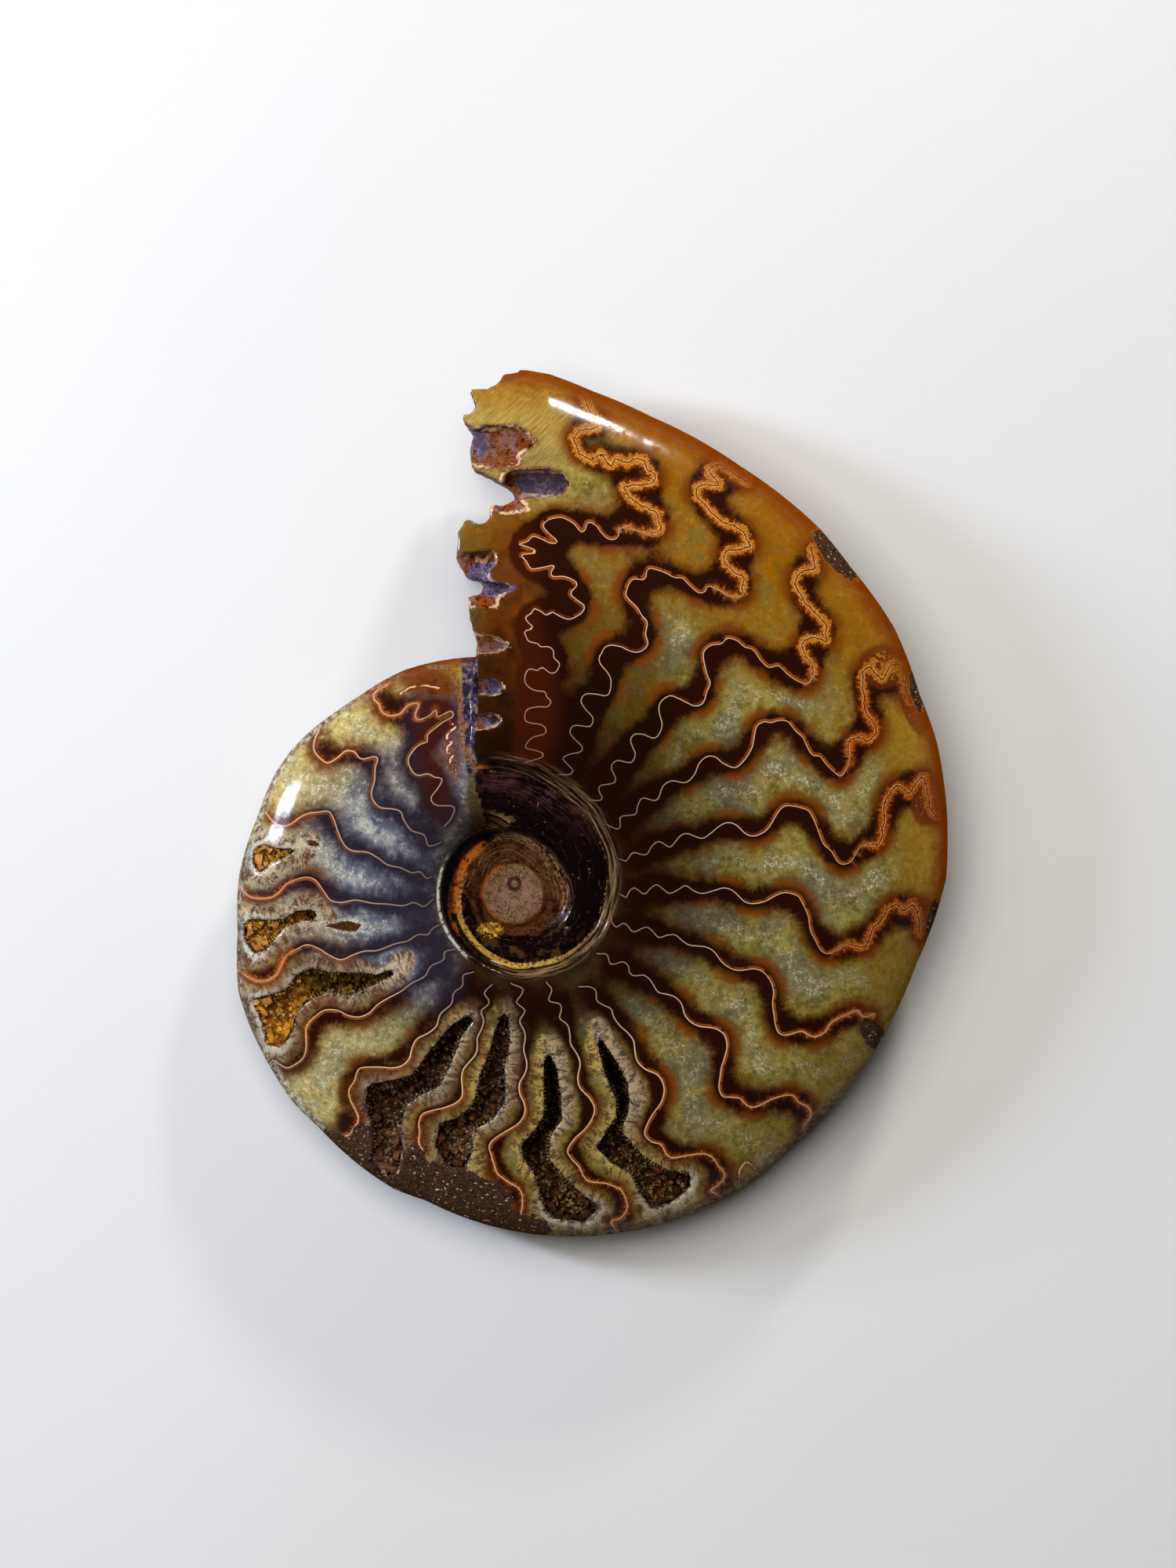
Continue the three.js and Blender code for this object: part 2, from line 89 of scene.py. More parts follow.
# The septa from the mouth backwards, each from the venter to the umbilicus, in pixels
SEPTA: tuple[Points, ...] = (
    (
        (745, 508), (750, 520), (757, 530), (763, 542), (757, 548), (742, 550), (732, 560), (736, 572),
        (742, 582), (757, 588), (766, 580), (773, 590), (779, 596), (785, 587), (798, 592), (808, 588),
        (820, 588), (826, 600), (835, 608), (830, 618), (800, 622), (796, 626), (803, 636), (812, 643),
        (828, 651), (839, 658), (838, 667), (844, 676), (827, 683), (810, 678), (792, 675), (788, 686),
        (782, 690), (774, 688), (766, 680), (760, 672), (750, 668), (746, 678), (741, 680), (732, 670),
        (720, 663), (712, 662), (700, 665), (693, 672), (700, 682), (711, 692), (704, 695), (690, 689),
        (680, 686), (674, 692), (663, 696), (669, 698), (682, 703), (683, 707), (666, 710), (672, 718),
        (678, 727), (690, 726), (707, 723), (703, 732), (706, 737), (720, 737), (732, 742), (736, 748),
        (728, 758), (735, 766), (745, 774), (742, 783), (727, 791), (716, 788), (704, 782), (698, 786),
        (688, 780), (681, 778), (678, 784), (671, 788), (673, 794), (680, 801), (678, 804), (670, 806),
        (671, 812), (675, 819), (686, 822), (690, 826), (700, 826), (706, 831), (707, 840), (714, 848),
        (708, 859), (700, 858), (692, 852), (686, 856), (676, 854), (671, 860), (670, 870), (676, 878),
        (686, 882), (695, 883), (698, 890), (703, 895), (699, 902), (688, 902), (676, 904), (671, 908),
        (670, 918), (675, 922), (691, 925), (697, 932), (694, 937), (682, 940), (674, 946), (671, 954),
        (682, 957), (694, 962), (689, 967), (676, 971), (662, 974),
    ),
    (
        (954, 602), (956, 611), (952, 614), (940, 608), (930, 600), (920, 594), (908, 596), (905, 604),
        (912, 612), (916, 620), (898, 619), (889, 624), (888, 634), (898, 644), (908, 656), (920, 666),
        (934, 672), (946, 678), (952, 690), (956, 698), (940, 702), (926, 704), (923, 712), (926, 722),
        (938, 732), (947, 738), (946, 750), (946, 761), (930, 762), (918, 755), (903, 749), (898, 756),
        (890, 757), (879, 748), (870, 739), (860, 738), (850, 733), (840, 729), (826, 727), (822, 740),
        (808, 740), (802, 746), (798, 758), (801, 765), (812, 776), (818, 786), (825, 795), (823, 810),
        (826, 822), (820, 830), (811, 833), (800, 830), (792, 826), (778, 824), (770, 828), (768, 833),
        (764, 840), (766, 848), (775, 859), (779, 868), (778, 882), (773, 888), (760, 886), (747, 886),
        (741, 894), (746, 904), (756, 916), (754, 926), (748, 927), (732, 926), (727, 934), (732, 942),
        (742, 952), (741, 959), (728, 962), (718, 967), (724, 975), (731, 983), (726, 988), (715, 988),
    ),
    (
        (1035, 702), (1037, 714), (1038, 727), (1026, 728), (1016, 736), (1014, 748), (1021, 760),
        (1026, 770), (1035, 779), (1047, 790), (1053, 798), (1052, 808), (1054, 818), (1045, 816),
        (1033, 814), (1024, 819), (1022, 827), (1028, 839), (1035, 851), (1036, 860), (1030, 872),
        (1018, 870), (1004, 861), (992, 850), (980, 852), (970, 844), (960, 830), (949, 826), (939, 818),
        (927, 815), (919, 822), (906, 824), (897, 832), (897, 844), (901, 861), (905, 872), (901, 882),
        (896, 897), (886, 901), (874, 896), (866, 892), (854, 888), (844, 894), (840, 902), (841, 912),
        (844, 924), (841, 935), (834, 942), (820, 937), (809, 937), (804, 944), (807, 954), (810, 962),
        (806, 972), (797, 972), (788, 970), (781, 974), (780, 981), (785, 993), (782, 999), (766, 1002),
        (764, 1009), (768, 1017), (764, 1021), (752, 1020),
    ),
    (
        (1160, 893), (1153, 870), (1150, 850), (1135, 850), (1126, 866), (1119, 863), (1114, 857),
        (1107, 851), (1101, 856), (1099, 866), (1100, 878), (1101, 892), (1102, 904), (1110, 918),
        (1116, 928), (1114, 940), (1107, 945), (1098, 942), (1086, 942), (1081, 952), (1082, 971),
        (1077, 983), (1071, 990), (1062, 984), (1052, 974), (1045, 965), (1035, 963), (1028, 952),
        (1023, 941), (1014, 933), (1004, 921), (994, 919), (982, 922), (973, 921), (964, 927), (961, 940),
        (958, 954), (949, 969), (937, 979), (922, 974), (912, 966), (901, 965), (891, 974), (885, 988),
        (874, 998), (856, 996), (845, 1003), (840, 1017), (834, 1021), (819, 1018), (813, 1028),
        (811, 1038), (801, 1040), (791, 1042), (791, 1054), (786, 1057), (775, 1052),
    ),
    (
        (1195, 1040), (1187, 1032), (1179, 994), (1170, 997), (1164, 1005), (1159, 1012), (1152, 1007),
        (1146, 1002), (1138, 1006), (1133, 1014), (1127, 1025), (1127, 1043), (1125, 1057), (1124, 1068),
        (1118, 1077), (1104, 1077), (1096, 1080), (1090, 1089), (1084, 1099), (1074, 1102), (1067, 1098),
        (1059, 1085), (1050, 1077), (1045, 1066), (1039, 1050), (1031, 1035), (1020, 1030), (1011, 1028),
        (1000, 1028), (992, 1035), (979, 1056), (968, 1064), (959, 1066), (950, 1063), (938, 1052),
        (927, 1049), (916, 1054), (904, 1064), (894, 1069), (876, 1063), (867, 1066), (858, 1077),
        (853, 1080), (840, 1073), (831, 1079), (826, 1088), (820, 1090), (808, 1087), (802, 1093),
        (799, 1098), (792, 1096),
    ),
    (
        (1174, 1191), (1172, 1173), (1165, 1154), (1158, 1158), (1152, 1161), (1142, 1154), (1131, 1160),
        (1124, 1173), (1113, 1184), (1108, 1198), (1102, 1207), (1093, 1207), (1080, 1203), (1072, 1207),
        (1063, 1213), (1054, 1216), (1046, 1211), (1040, 1200), (1033, 1186), (1030, 1168), (1023, 1152),
        (1016, 1142), (1000, 1138), (988, 1142), (975, 1149), (961, 1152), (950, 1150), (941, 1142),
        (933, 1135), (923, 1132), (911, 1135), (896, 1139), (885, 1136), (874, 1129), (865, 1134),
        (854, 1139), (846, 1134), (837, 1128), (829, 1133), (822, 1140), (814, 1135), (808, 1132),
        (802, 1137), (799, 1144), (794, 1142),
    ),
    (
        (1112, 1295), (1102, 1297), (1092, 1289), (1080, 1294), (1072, 1297), (1060, 1304), (1052, 1316),
        (1040, 1322), (1032, 1320), (1022, 1315), (1010, 1318), (1001, 1320), (993, 1317), (989, 1308),
        (987, 1295), (985, 1280), (986, 1262), (980, 1247), (971, 1238), (960, 1235), (944, 1237),
        (933, 1235), (921, 1227), (910, 1213), (899, 1207), (880, 1205), (871, 1200), (861, 1192),
        (851, 1192), (840, 1195), (831, 1186), (823, 1182), (808, 1188), (801, 1181), (795, 1177),
        (786, 1182), (781, 1177), (780, 1173),
    ),
    (
        (1028, 1446), (1026, 1438), (1032, 1430), (1035, 1420), (1029, 1411), (1020, 1407), (1012, 1398),
        (1002, 1397), (984, 1402), (973, 1408), (962, 1412), (953, 1410), (944, 1401), (932, 1399),
        (922, 1398), (917, 1388), (918, 1375), (920, 1361), (924, 1348), (927, 1334), (924, 1320),
        (916, 1313), (907, 1310), (891, 1308), (880, 1302), (873, 1293), (869, 1280), (862, 1272),
        (853, 1268), (840, 1265), (834, 1257), (828, 1248), (820, 1243), (809, 1244), (803, 1240),
        (801, 1231), (794, 1226), (784, 1229), (778, 1228), (774, 1217), (764, 1216),
    ),
    (
        (925, 1533), (918, 1527), (907, 1520), (912, 1516), (923, 1506), (924, 1497), (916, 1487),
        (909, 1477), (898, 1472), (876, 1474), (859, 1477), (850, 1472), (843, 1460), (831, 1456),
        (823, 1448), (823, 1440), (831, 1423), (843, 1406), (847, 1391), (845, 1380), (838, 1370),
        (823, 1363), (813, 1353), (810, 1342), (808, 1327), (801, 1317), (791, 1308), (783, 1297),
        (779, 1286), (769, 1281), (761, 1275), (760, 1263), (752, 1258), (741, 1258),
    ),
    (
        (790, 1575), (784, 1569), (780, 1559), (792, 1555), (800, 1542), (797, 1527), (791, 1517),
        (786, 1515), (774, 1510), (752, 1507), (744, 1500), (739, 1489), (729, 1478), (724, 1467),
        (733, 1452), (746, 1440), (756, 1425), (758, 1412), (752, 1400), (740, 1387), (737, 1374),
        (740, 1356), (736, 1344), (728, 1331), (727, 1320), (724, 1307), (714, 1298), (716, 1288),
        (714, 1280), (702, 1277), (700, 1273), (704, 1262), (699, 1255),
    ),
    (
        (664, 1550), (666, 1539), (666, 1526), (662, 1517), (650, 1509), (635, 1498), (630, 1485),
        (627, 1475), (624, 1462), (630, 1453), (645, 1443), (661, 1433), (669, 1421), (669, 1408),
        (663, 1394), (663, 1381), (670, 1368), (672, 1355), (668, 1338), (670, 1325), (669, 1315),
        (663, 1302), (668, 1293), (669, 1287), (659, 1278), (664, 1270), (667, 1261), (654, 1255),
    ),
    (
        (538, 1466), (534, 1458), (535, 1445), (534, 1434), (538, 1422), (549, 1417), (566, 1413),
        (581, 1407), (589, 1399), (590, 1389), (589, 1376), (591, 1364), (598, 1355), (607, 1344),
        (609, 1334), (609, 1323), (613, 1315), (617, 1302), (614, 1289), (622, 1282), (624, 1276),
        (618, 1266), (626, 1257),
    ),
    (
        (420, 1447), (442, 1450), (452, 1438), (457, 1428), (453, 1417), (446, 1402), (445, 1390),
        (452, 1379), (455, 1368), (461, 1362), (483, 1361), (500, 1362), (513, 1359), (522, 1350),
        (526, 1336), (532, 1325), (547, 1317), (557, 1308), (562, 1293), (576, 1280), (579, 1266),
        (590, 1257), (591, 1244), (602, 1240),
    ),
    (
        (342, 1358), (348, 1354), (356, 1359), (365, 1363), (375, 1359), (386, 1350), (390, 1337),
        (390, 1320), (392, 1307), (405, 1294), (416, 1288), (431, 1289), (444, 1295), (458, 1297),
        (471, 1292), (482, 1281), (495, 1273), (512, 1264), (525, 1254), (542, 1245), (550, 1232),
        (566, 1224), (567, 1214), (578, 1211),
    ),
    (
        (303, 1239), (318, 1248), (330, 1252), (343, 1250), (353, 1242), (359, 1230), (365, 1219),
        (380, 1210), (392, 1205), (407, 1210), (420, 1218), (435, 1224), (450, 1218), (465, 1213),
        (482, 1212), (503, 1204), (520, 1200), (533, 1192), (546, 1192), (551, 1185), (559, 1180),
    ),
    (
        (303, 1130), (316, 1143), (328, 1146), (345, 1145), (356, 1138), (365, 1128), (380, 1121),
        (392, 1119), (403, 1123), (414, 1138), (422, 1148), (435, 1151), (454, 1148), (476, 1152),
        (495, 1153), (514, 1155), (528, 1151), (541, 1156), (551, 1148),
    ),
    (
        (339, 1038), (348, 1048), (360, 1054), (371, 1051), (382, 1043), (392, 1038), (405, 1036),
        (419, 1035), (426, 1045), (431, 1060), (439, 1077), (450, 1085), (469, 1087), (482, 1094),
        (495, 1103), (512, 1107), (525, 1113), (536, 1112), (544, 1120), (549, 1119),
    ),
    (
        (408, 926), (406, 932), (401, 943), (400, 956), (407, 966), (418, 973), (431, 966), (441, 958),
        (452, 959), (461, 968), (478, 965), (482, 969), (479, 979), (478, 996), (474, 1011), (477, 1022),
        (486, 1030), (503, 1032), (512, 1036), (515, 1045), (525, 1059), (541, 1065), (546, 1078),
        (554, 1078), (561, 1075),
    ),
    (
        (495, 872), (482, 880), (477, 884), (477, 892), (483, 898), (488, 909), (499, 913), (511, 910),
        (520, 900), (531, 897), (534, 900), (530, 911), (533, 918), (546, 914), (556, 906), (559, 914),
        (575, 907), (578, 914), (567, 920), (559, 926), (546, 937), (545, 946), (535, 950), (527, 958),
        (521, 969), (525, 982), (533, 989), (546, 987), (554, 991), (564, 994), (559, 1005), (550, 1018),
        (557, 1027), (576, 1028), (580, 1033), (575, 1045), (569, 1052),
    ),
)

# Cavities in the chambers: the depth of each in millimetres, and its outline in pixels
CAVITIES: dict[str, tuple[float, Points]] = {
    "left_upper": (4.5, (
        (323, 1085), (336, 1077), (356, 1083), (372, 1082), (384, 1083), (366, 1092), (347, 1099),
        (341, 1109), (329, 1113), (323, 1100),
    )),
    "left_middle": (5.5, (
        (312, 1181), (320, 1172), (345, 1174), (362, 1172), (380, 1162), (400, 1160), (407, 1172),
        (385, 1175), (362, 1184), (349, 1200), (338, 1212), (324, 1217), (311, 1196),
    )),
    "left_lower": (6.5, (
        (321, 1275), (350, 1268), (366, 1261), (380, 1242), (400, 1235), (425, 1241), (455, 1241),
        (482, 1243), (511, 1231), (500, 1245), (475, 1257), (446, 1270), (420, 1266), (396, 1274),
        (380, 1290), (374, 1314), (360, 1336), (340, 1333), (335, 1306),
    )),
    "bottom_left": (7.5, (
        (600, 1294), (578, 1306), (556, 1331), (541, 1350), (526, 1371), (496, 1379), (470, 1384),
        (466, 1410), (476, 1440), (477, 1466), (470, 1485), (490, 1502), (507, 1494), (513, 1466),
        (511, 1436), (518, 1411), (534, 1398), (562, 1385), (575, 1358), (589, 1322), (605, 1299),
    )),
    "bottom_middle": (7.5, (
        (643, 1290), (632, 1312), (625, 1340), (612, 1374), (604, 1408), (584, 1426), (562, 1432),
        (555, 1462), (572, 1488), (594, 1492), (603, 1468), (601, 1443), (630, 1427), (645, 1404),
        (644, 1362), (651, 1330), (650, 1300),
    )),
    "bottom_centre": (8, (
        (699, 1336), (694, 1356), (694, 1390), (694, 1424), (682, 1442), (665, 1460), (669, 1480),
        (684, 1503), (692, 1534), (704, 1554), (745, 1560), (765, 1540), (742, 1523), (718, 1499),
        (701, 1479), (702, 1450), (717, 1428), (716, 1400), (711, 1364),
    )),
    "bottom_right": (8, (
        (759, 1316), (766, 1346), (772, 1372), (785, 1400), (786, 1424), (772, 1446), (761, 1464),
        (780, 1484), (803, 1494), (816, 1520), (832, 1541), (858, 1534), (879, 1516), (880, 1497),
        (850, 1493), (822, 1475), (792, 1442), (802, 1416), (802, 1384), (788, 1356), (768, 1326),
    )),
}

# Short sutures that stand alone on the face, and small shut openings, in pixels
HAIRLINES: tuple[Points, ...] = (
    ((943, 1508), (944, 1494), (951, 1484), (960, 1487), (965, 1494), (969, 1501)),
    ((537, 1530), (535, 1517), (539, 1508), (546, 1505)),
    (
        (575, 922), (581, 928), (573, 934), (570, 942), (577, 947), (571, 953), (571, 960), (578, 964),
        (574, 971), (580, 980),
    ),
    ((512, 884), (524, 877), (540, 874), (556, 877), (566, 880)),
)
PITS: tuple[Points, ...] = (
    ((408, 1178), (426, 1177), (444, 1174), (463, 1180), (453, 1188), (437, 1187), (420, 1183)),
    ((388, 1072), (398, 1071), (408, 1076), (403, 1081), (393, 1078)),
)

# The broken edge of the mouth on the face, corners that close it on the left, and the places where nacre
# shows in it, in pixels
BROKEN_EDGE: Points = (
    (690, 430), (661, 477), (642, 481), (634, 494), (618, 500), (600, 500), (608, 520), (603, 530),
    (590, 531), (594, 543), (606, 556), (600, 575), (603, 598), (625, 609), (654, 624), (659, 640),
    (640, 648), (626, 646), (626, 667), (612, 671), (596, 664), (586, 680), (583, 715), (597, 738),
    (617, 741), (617, 758), (598, 763), (601, 790), (609, 820), (609, 840), (603, 862), (601, 890),
    (604, 920), (602, 950), (609, 972), (606, 1000),
)
LEFT_OF_MOUTH: Points = ((200, 1000), (200, 300), (690, 300))
NACRE: tuple[Points, ...] = (
    ((588, 541), (605, 545), (625, 548), (645, 544), (662, 546), (686, 567), (663, 583), (667, 597),
     (620, 600), (590, 590)),
    ((640, 604), (662, 600), (700, 600), (719, 605), (728, 621), (715, 634), (690, 636), (665, 634),
     (678, 652), (650, 658), (626, 655)),
    ((578, 712), (602, 708), (616, 716), (630, 704), (636, 718), (626, 730), (632, 742), (662, 750),
     (638, 765), (636, 777), (600, 776)),
    ((592, 806), (630, 812), (654, 824), (636, 833), (592, 835)),
    ((590, 868), (628, 866), (645, 876), (634, 887), (590, 888)),
    ((590, 914), (628, 910), (643, 918), (632, 929), (590, 931)),
)
# The wall of the mouth where it meets the whorl before, and the line along it on that whorl, in pixels
MOUTH_WALL: Points = ((590, 832), (607, 832), (609, 900), (604, 950), (612, 985), (598, 985), (592, 920))
SHELL_WALL: Points = ((548, 850), (575, 855), (586, 880), (588, 920), (594, 960), (608, 984))

# The seam at the foot of the umbilical wall, and the edge of the inner whorl, in pixels
SEAM: Points = (
    (620, 982), (649, 984), (676, 991), (700, 1004), (724, 1021), (747, 1041), (763, 1068), (773, 1096),
    (775, 1124), (769, 1152), (760, 1180), (741, 1204), (717, 1221), (685, 1230), (657, 1232), (629, 1221),
    (607, 1204), (593, 1185), (586, 1167), (585, 1142), (590, 1124), (599, 1103), (616, 1086),
)
RING: Points = (
    (590, 1124), (596, 1100), (607, 1081), (627, 1068), (649, 1064), (666, 1069), (685, 1081), (700, 1096),
    (713, 1114), (720, 1132), (721, 1150), (715, 1168), (702, 1182), (676, 1192), (648, 1195), (625, 1190),
    (608, 1175), (600, 1155),
)


def place(points: Points | np.ndarray) -> np.ndarray:
    """Pixels of the picture as millimetres in the part's frame, on the face's plane."""
    away = np.asarray(points, float).reshape(-1, 2) - UMBILICUS_PX
    return UMBILICUS + away * MM_PER_PX * (1, -1)


def pigment(red: float, green: float, blue_and_sheen: float) -> Pigment:
    """A colour as the eye reads it, 0 to 255, as the linear colour that a shader takes."""
    return (*(((c / 255 + 0.055) / 1.055) ** 2.4 if c > 10 else c / 3295 for c in (red, green, blue_and_sheen)), 1)


def eased(low: float, high: float, value: np.ndarray) -> np.ndarray:
    """0 below low, 1 above high and a smooth step between them."""
    share = np.clip((value - low) / (high - low), 0, 1)
    return share * share * (3 - 2 * share)


def smooth_line(corners: np.ndarray) -> np.ndarray:
    """A smooth curve through corners.

    Args:
        corners: The places that the curve passes, in millimetres.

    Returns:
        The curve's points, from the first corner to the last.
    """
    before = np.vstack([2 * corners[0] - corners[1], corners[:-2], corners[-2]])[: len(corners) - 1]
    start, end = corners[:-1], corners[1:]
    after = np.vstack([corners[2:], 2 * corners[-1] - corners[-2]])
    points = []
    for p, q, r, s in zip(before, start, end, after):
        count = max(2, math.ceil(np.linalg.norm(r - q) / LINE_SPACING))
        t = (np.arange(count) / count)[:, None]
        curve = 2 * q + (r - p) * t + (2 * p - 5 * q + 4 * r - s) * t**2 + (3 * q - p - 3 * r + s) * t**3
        points.append(curve / 2)
    return np.vstack([*points, corners[-1:]])


def merged(node: str) -> bmesh.types.BMesh:
    """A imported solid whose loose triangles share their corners."""
    solid = bmesh.new()
    solid.from_mesh(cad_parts[node].data)
    bmesh.ops.remove_doubles(solid, verts=solid.verts, dist=MERGE_M)
    return solid


def linked(thing: bpy.types.Object) -> bpy.types.Object:
    """An object, after it has joined the scene."""
    bpy.context.scene.collection.objects.link(thing)
    return thing


def piece_of(name: str, shape: bmesh.types.BMesh) -> bpy.types.Object:
    """A finished shape as a piece of the scene."""
    mesh = bpy.data.meshes.new(name)
    shape.to_mesh(mesh)
    shape.free()
    return linked(bpy.data.objects.new(name, mesh))


@dataclass(frozen=True)
class Coil:
    """The shell's spiral about its umbilicus, in millimetres and in degrees of coiling."""

    spiral_radius_px: float = 657
    spiral_degrees: float = 86.3
    growth: float = 0.0022535
    mouth_degrees: float = 95
    mouth_half_thickness: float = 12.4
    thinning_per_turn: float = 0.5
    median_height: float = 8.9
    median_slope: tuple[float, float] = (0.02, 0.057)
    flank_power: float = 3.4
    flank_rounding: float = 0.6
    shoulder_drop: float = 0.07
    shoulder_width: float = 0.05
    last_degrees: float = 110
    whorls: int = 3
    steep_share: float = 0.62
    highest_level: float = 0.999
    flank_shares: tuple[float, float] = (-0.01, 1.04)
    sure_miss: tuple[float, float] = (0.3, 0.55)
    wear: Points = (
        (-300, 6), (-244, 6), (-232, 0), (-226, 0), (-214, 4), (-208, 3), (-196, -5), (-184, -5),
        (-172, -10), (-160, -2), (-148, -6), (-136, -8), (-130, -13), (-112, -11), (-106, -16),
        (-94, -10), (-82, -5), (-64, -1), (-52, -3), (-43, -10), (-20, -9), (-10, -6), (2, 10),
        (20, 9), (26, 4), (35, 8), (44, 2), (50, 3), (62, -4), (74, -5), (81, 0), (86, 8), (120, 8),
    )
    shoulders: Points = (
        (-640, 43), (-540, 52), (-450, 62), (-360, 80), (-270, 88), (-225, 96), (-180, 95), (-135, 97),
        (-90, 105), (-45, 119), (0, 131), (45, 151), (90, 172), (120, 186),
    )

    def median(self, x: np.ndarray, y: np.ndarray) -> np.ndarray:
        """The height of the coiling plane at a distance from the umbilicus."""
        return self.median_height + self.median_slope[0] * x + self.median_slope[1] * y

    def half_thickness(self, degrees: np.ndarray) -> np.ndarray:
        """Half of the whorl's thickness at a coiling angle."""
        return self.mouth_half_thickness * self.thinning_per_turn ** ((self.mouth_degrees - degrees) / 360)

    def shoulder(self, degrees: np.ndarray) -> np.ndarray:
        """The radius at which the flank starts."""
        return np.interp(degrees, *zip(*self.shoulders)) * MM_PER_PX

    def venter(self, degrees: np.ndarray) -> np.ndarray:
        """The radius at which the flank ends."""
        spiral = self.spiral_radius_px * np.exp(self.growth * (degrees - self.spiral_degrees))
        return (spiral + np.interp(degrees, *zip(*self.wear))) * MM_PER_PX

    def profile(self, share: np.ndarray) -> np.ndarray:
        """The whorl's section.

        Args:
            share: Shares of the way from shoulder to venter.

        Returns:
            Shares of the half thickness there.
        """
        share = np.clip(share, 0, 1)
        shoulder = 1 - self.shoulder_drop * np.exp(-((share / self.shoulder_width) ** 2))
        return shoulder * (1 - share**self.flank_power) ** self.flank_rounding

    def face(self, xy: np.ndarray) -> np.ndarray:
        """The height of the outermost face.

        Args:
            xy: Places in the part's frame, in millimetres.

        Returns:
            The face's height over each.
        """
        x, y = (xy - UMBILICUS).T
        direction = np.degrees(np.arctan2(y, x))
        degrees = np.where(direction > self.last_degrees, direction - 360, direction)
        shoulder, venter = self.shoulder(degrees), self.venter(degrees)
        share = (np.hypot(x, y) - shoulder) / (venter - shoulder)
        return self.median(x, y) + self.half_thickness(degrees) * self.profile(share)

    def settle(self, points: np.ndarray) -> dict[str, np.ndarray]:
        """Lays points that are close to a whorl's flank exactly on it.

        Args:
            points: Places in the part's frame, in millimetres.

        Returns:
            The settled points, how surely each is on a flank, the share of the way to the venter on its own
            whorl, and the same share on the outermost whorl there.
        """
        x, y = points[:, 0] - UMBILICUS[0], points[:, 1] - UMBILICUS[1]
        radius, direction = np.hypot(x, y), np.degrees(np.arctan2(y, x))
        median = self.median(x, y)
        height = points[:, 2] - median
        outermost = np.where(direction > self.last_degrees, direction - 360, direction)
        settled, own = points.copy(), np.zeros(len(points))
        nearest = np.full(len(points), np.inf)
        for turns in range(self.whorls):
            degrees = outermost - 360 * turns
            shoulder, venter = self.shoulder(degrees), self.venter(degrees)
            half = self.half_thickness(degrees)
            share = (radius - shoulder) / (venter - shoulder)
            expected = half * self.profile(share)
            level = np.clip(np.abs(height) / half, 0, self.highest_level)
            reach = (1 - level ** (1 / self.flank_rounding)) ** (1 / self.flank_power)
            wanted = shoulder + reach * (venter - shoulder)
            steep = level < self.steep_share
            miss = np.where(steep, np.abs(radius - wanted), np.abs(np.abs(height) - expected))
            inmost, outmost = self.flank_shares
            miss = np.where((share > inmost) & (share < outmost), miss, np.inf)
            closer = miss < nearest
            stretch = np.where(steep, wanted / radius, 1)
            flank = np.column_stack([
                UMBILICUS[0] + x * stretch,
                UMBILICUS[1] + y * stretch,
                np.where(steep, points[:, 2], median + np.sign(height) * expected),
            ])
            settled[closer], own[closer], nearest[closer] = flank[closer], share[closer], miss[closer]
            if turns == 0:
                outer = share
        sure = 1 - eased(*self.sure_miss, nearest)
        sure[points[:, 2] < GROUND] = 0
        settled = points + (settled - points) * sure[:, None]
        return {"points": settled, "sure": sure, "own": own, "outer": outer}


@dataclass
class Line:
    """A smooth curve on the face, to measure distances from."""

    corners: Points
    closed: bool = False
    exact_within: float = 0.5
    batch: int = 3000
    points: np.ndarray = field(init=False)
    along: np.ndarray = field(init=False)

    def __post_init__(self) -> None:
        """Works out the curve's points and their distances along it."""
        corners = place(self.corners)
        if self.closed:
            corners = np.vstack([corners, corners[:1]])
        self.points = smooth_line(corners)
        steps = np.linalg.norm(np.diff(self.points, axis=0), axis=1)
        self.along = np.concatenate([[0], np.cumsum(steps)])

    def distances(self, xy: np.ndarray, reach: float = 9) -> tuple[np.ndarray, np.ndarray]:
        """Signed distances from the curve, and the distances along it of the nearest points.

        Args:
            xy: Places on the face, in millimetres.
            reach: How far from the curve a distance is still worked out.

        Returns:
            The distances, positive on the curve's left, and the places along it.
        """
        signed, along = np.full(len(xy), FAR), np.zeros(len(xy))
        low, high = self.points.min(0) - reach, self.points.max(0) + reach
        inside = np.flatnonzero(((xy > low) & (xy < high)).all(1))
        tangents = np.gradient(self.points, axis=0)
        tangents /= np.linalg.norm(tangents, axis=1)[:, None]
        for some in np.array_split(inside, max(1, len(inside) // self.batch)):
            away = xy[some, None, :] - self.points[None, :, :]
            nearest = (away**2).sum(2).argmin(1)
            gone = away[np.arange(len(some)), nearest]
            tangent = tangents[nearest]
            across = tangent[:, 0] * gone[:, 1] - tangent[:, 1] * gone[:, 0]
            far = np.hypot(*gone.T)
            exact = np.where(far < self.exact_within, np.abs(across), far)
            signed[some] = np.where(across >= 0, exact, -exact)
            along[some] = self.along[nearest]
        return signed, along

    def signed(self, xy: np.ndarray) -> np.ndarray:
        """Distances from the closed curve, negative inside it."""
        far = np.abs(self.distances(xy, OUTLINE_REACH)[0])
        return np.where(self.encloses(xy), -far, far)

    def encloses(self, xy: np.ndarray) -> np.ndarray:
        """Which places lie inside the closed curve.

        Args:
            xy: Places on the face, in millimetres.

        Returns:
            True for each that lies inside.
        """
        corners = place(self.corners)
        inside = np.zeros(len(xy), bool)
        for (ax, ay), (bx, by) in zip(corners, np.roll(corners, -1, axis=0)):
            crosses = (ay > xy[:, 1]) != (by > xy[:, 1])
            inside ^= crosses & (xy[:, 0] < (bx - ax) * (xy[:, 1] - ay) / (by - ay + 1e-12) + ax)
        return inside


def closed(outlines: Iterable[Points]) -> list[Line]:
    """Traced outlines as closed curves."""
    return [Line(corners, closed=True) for corners in outlines]


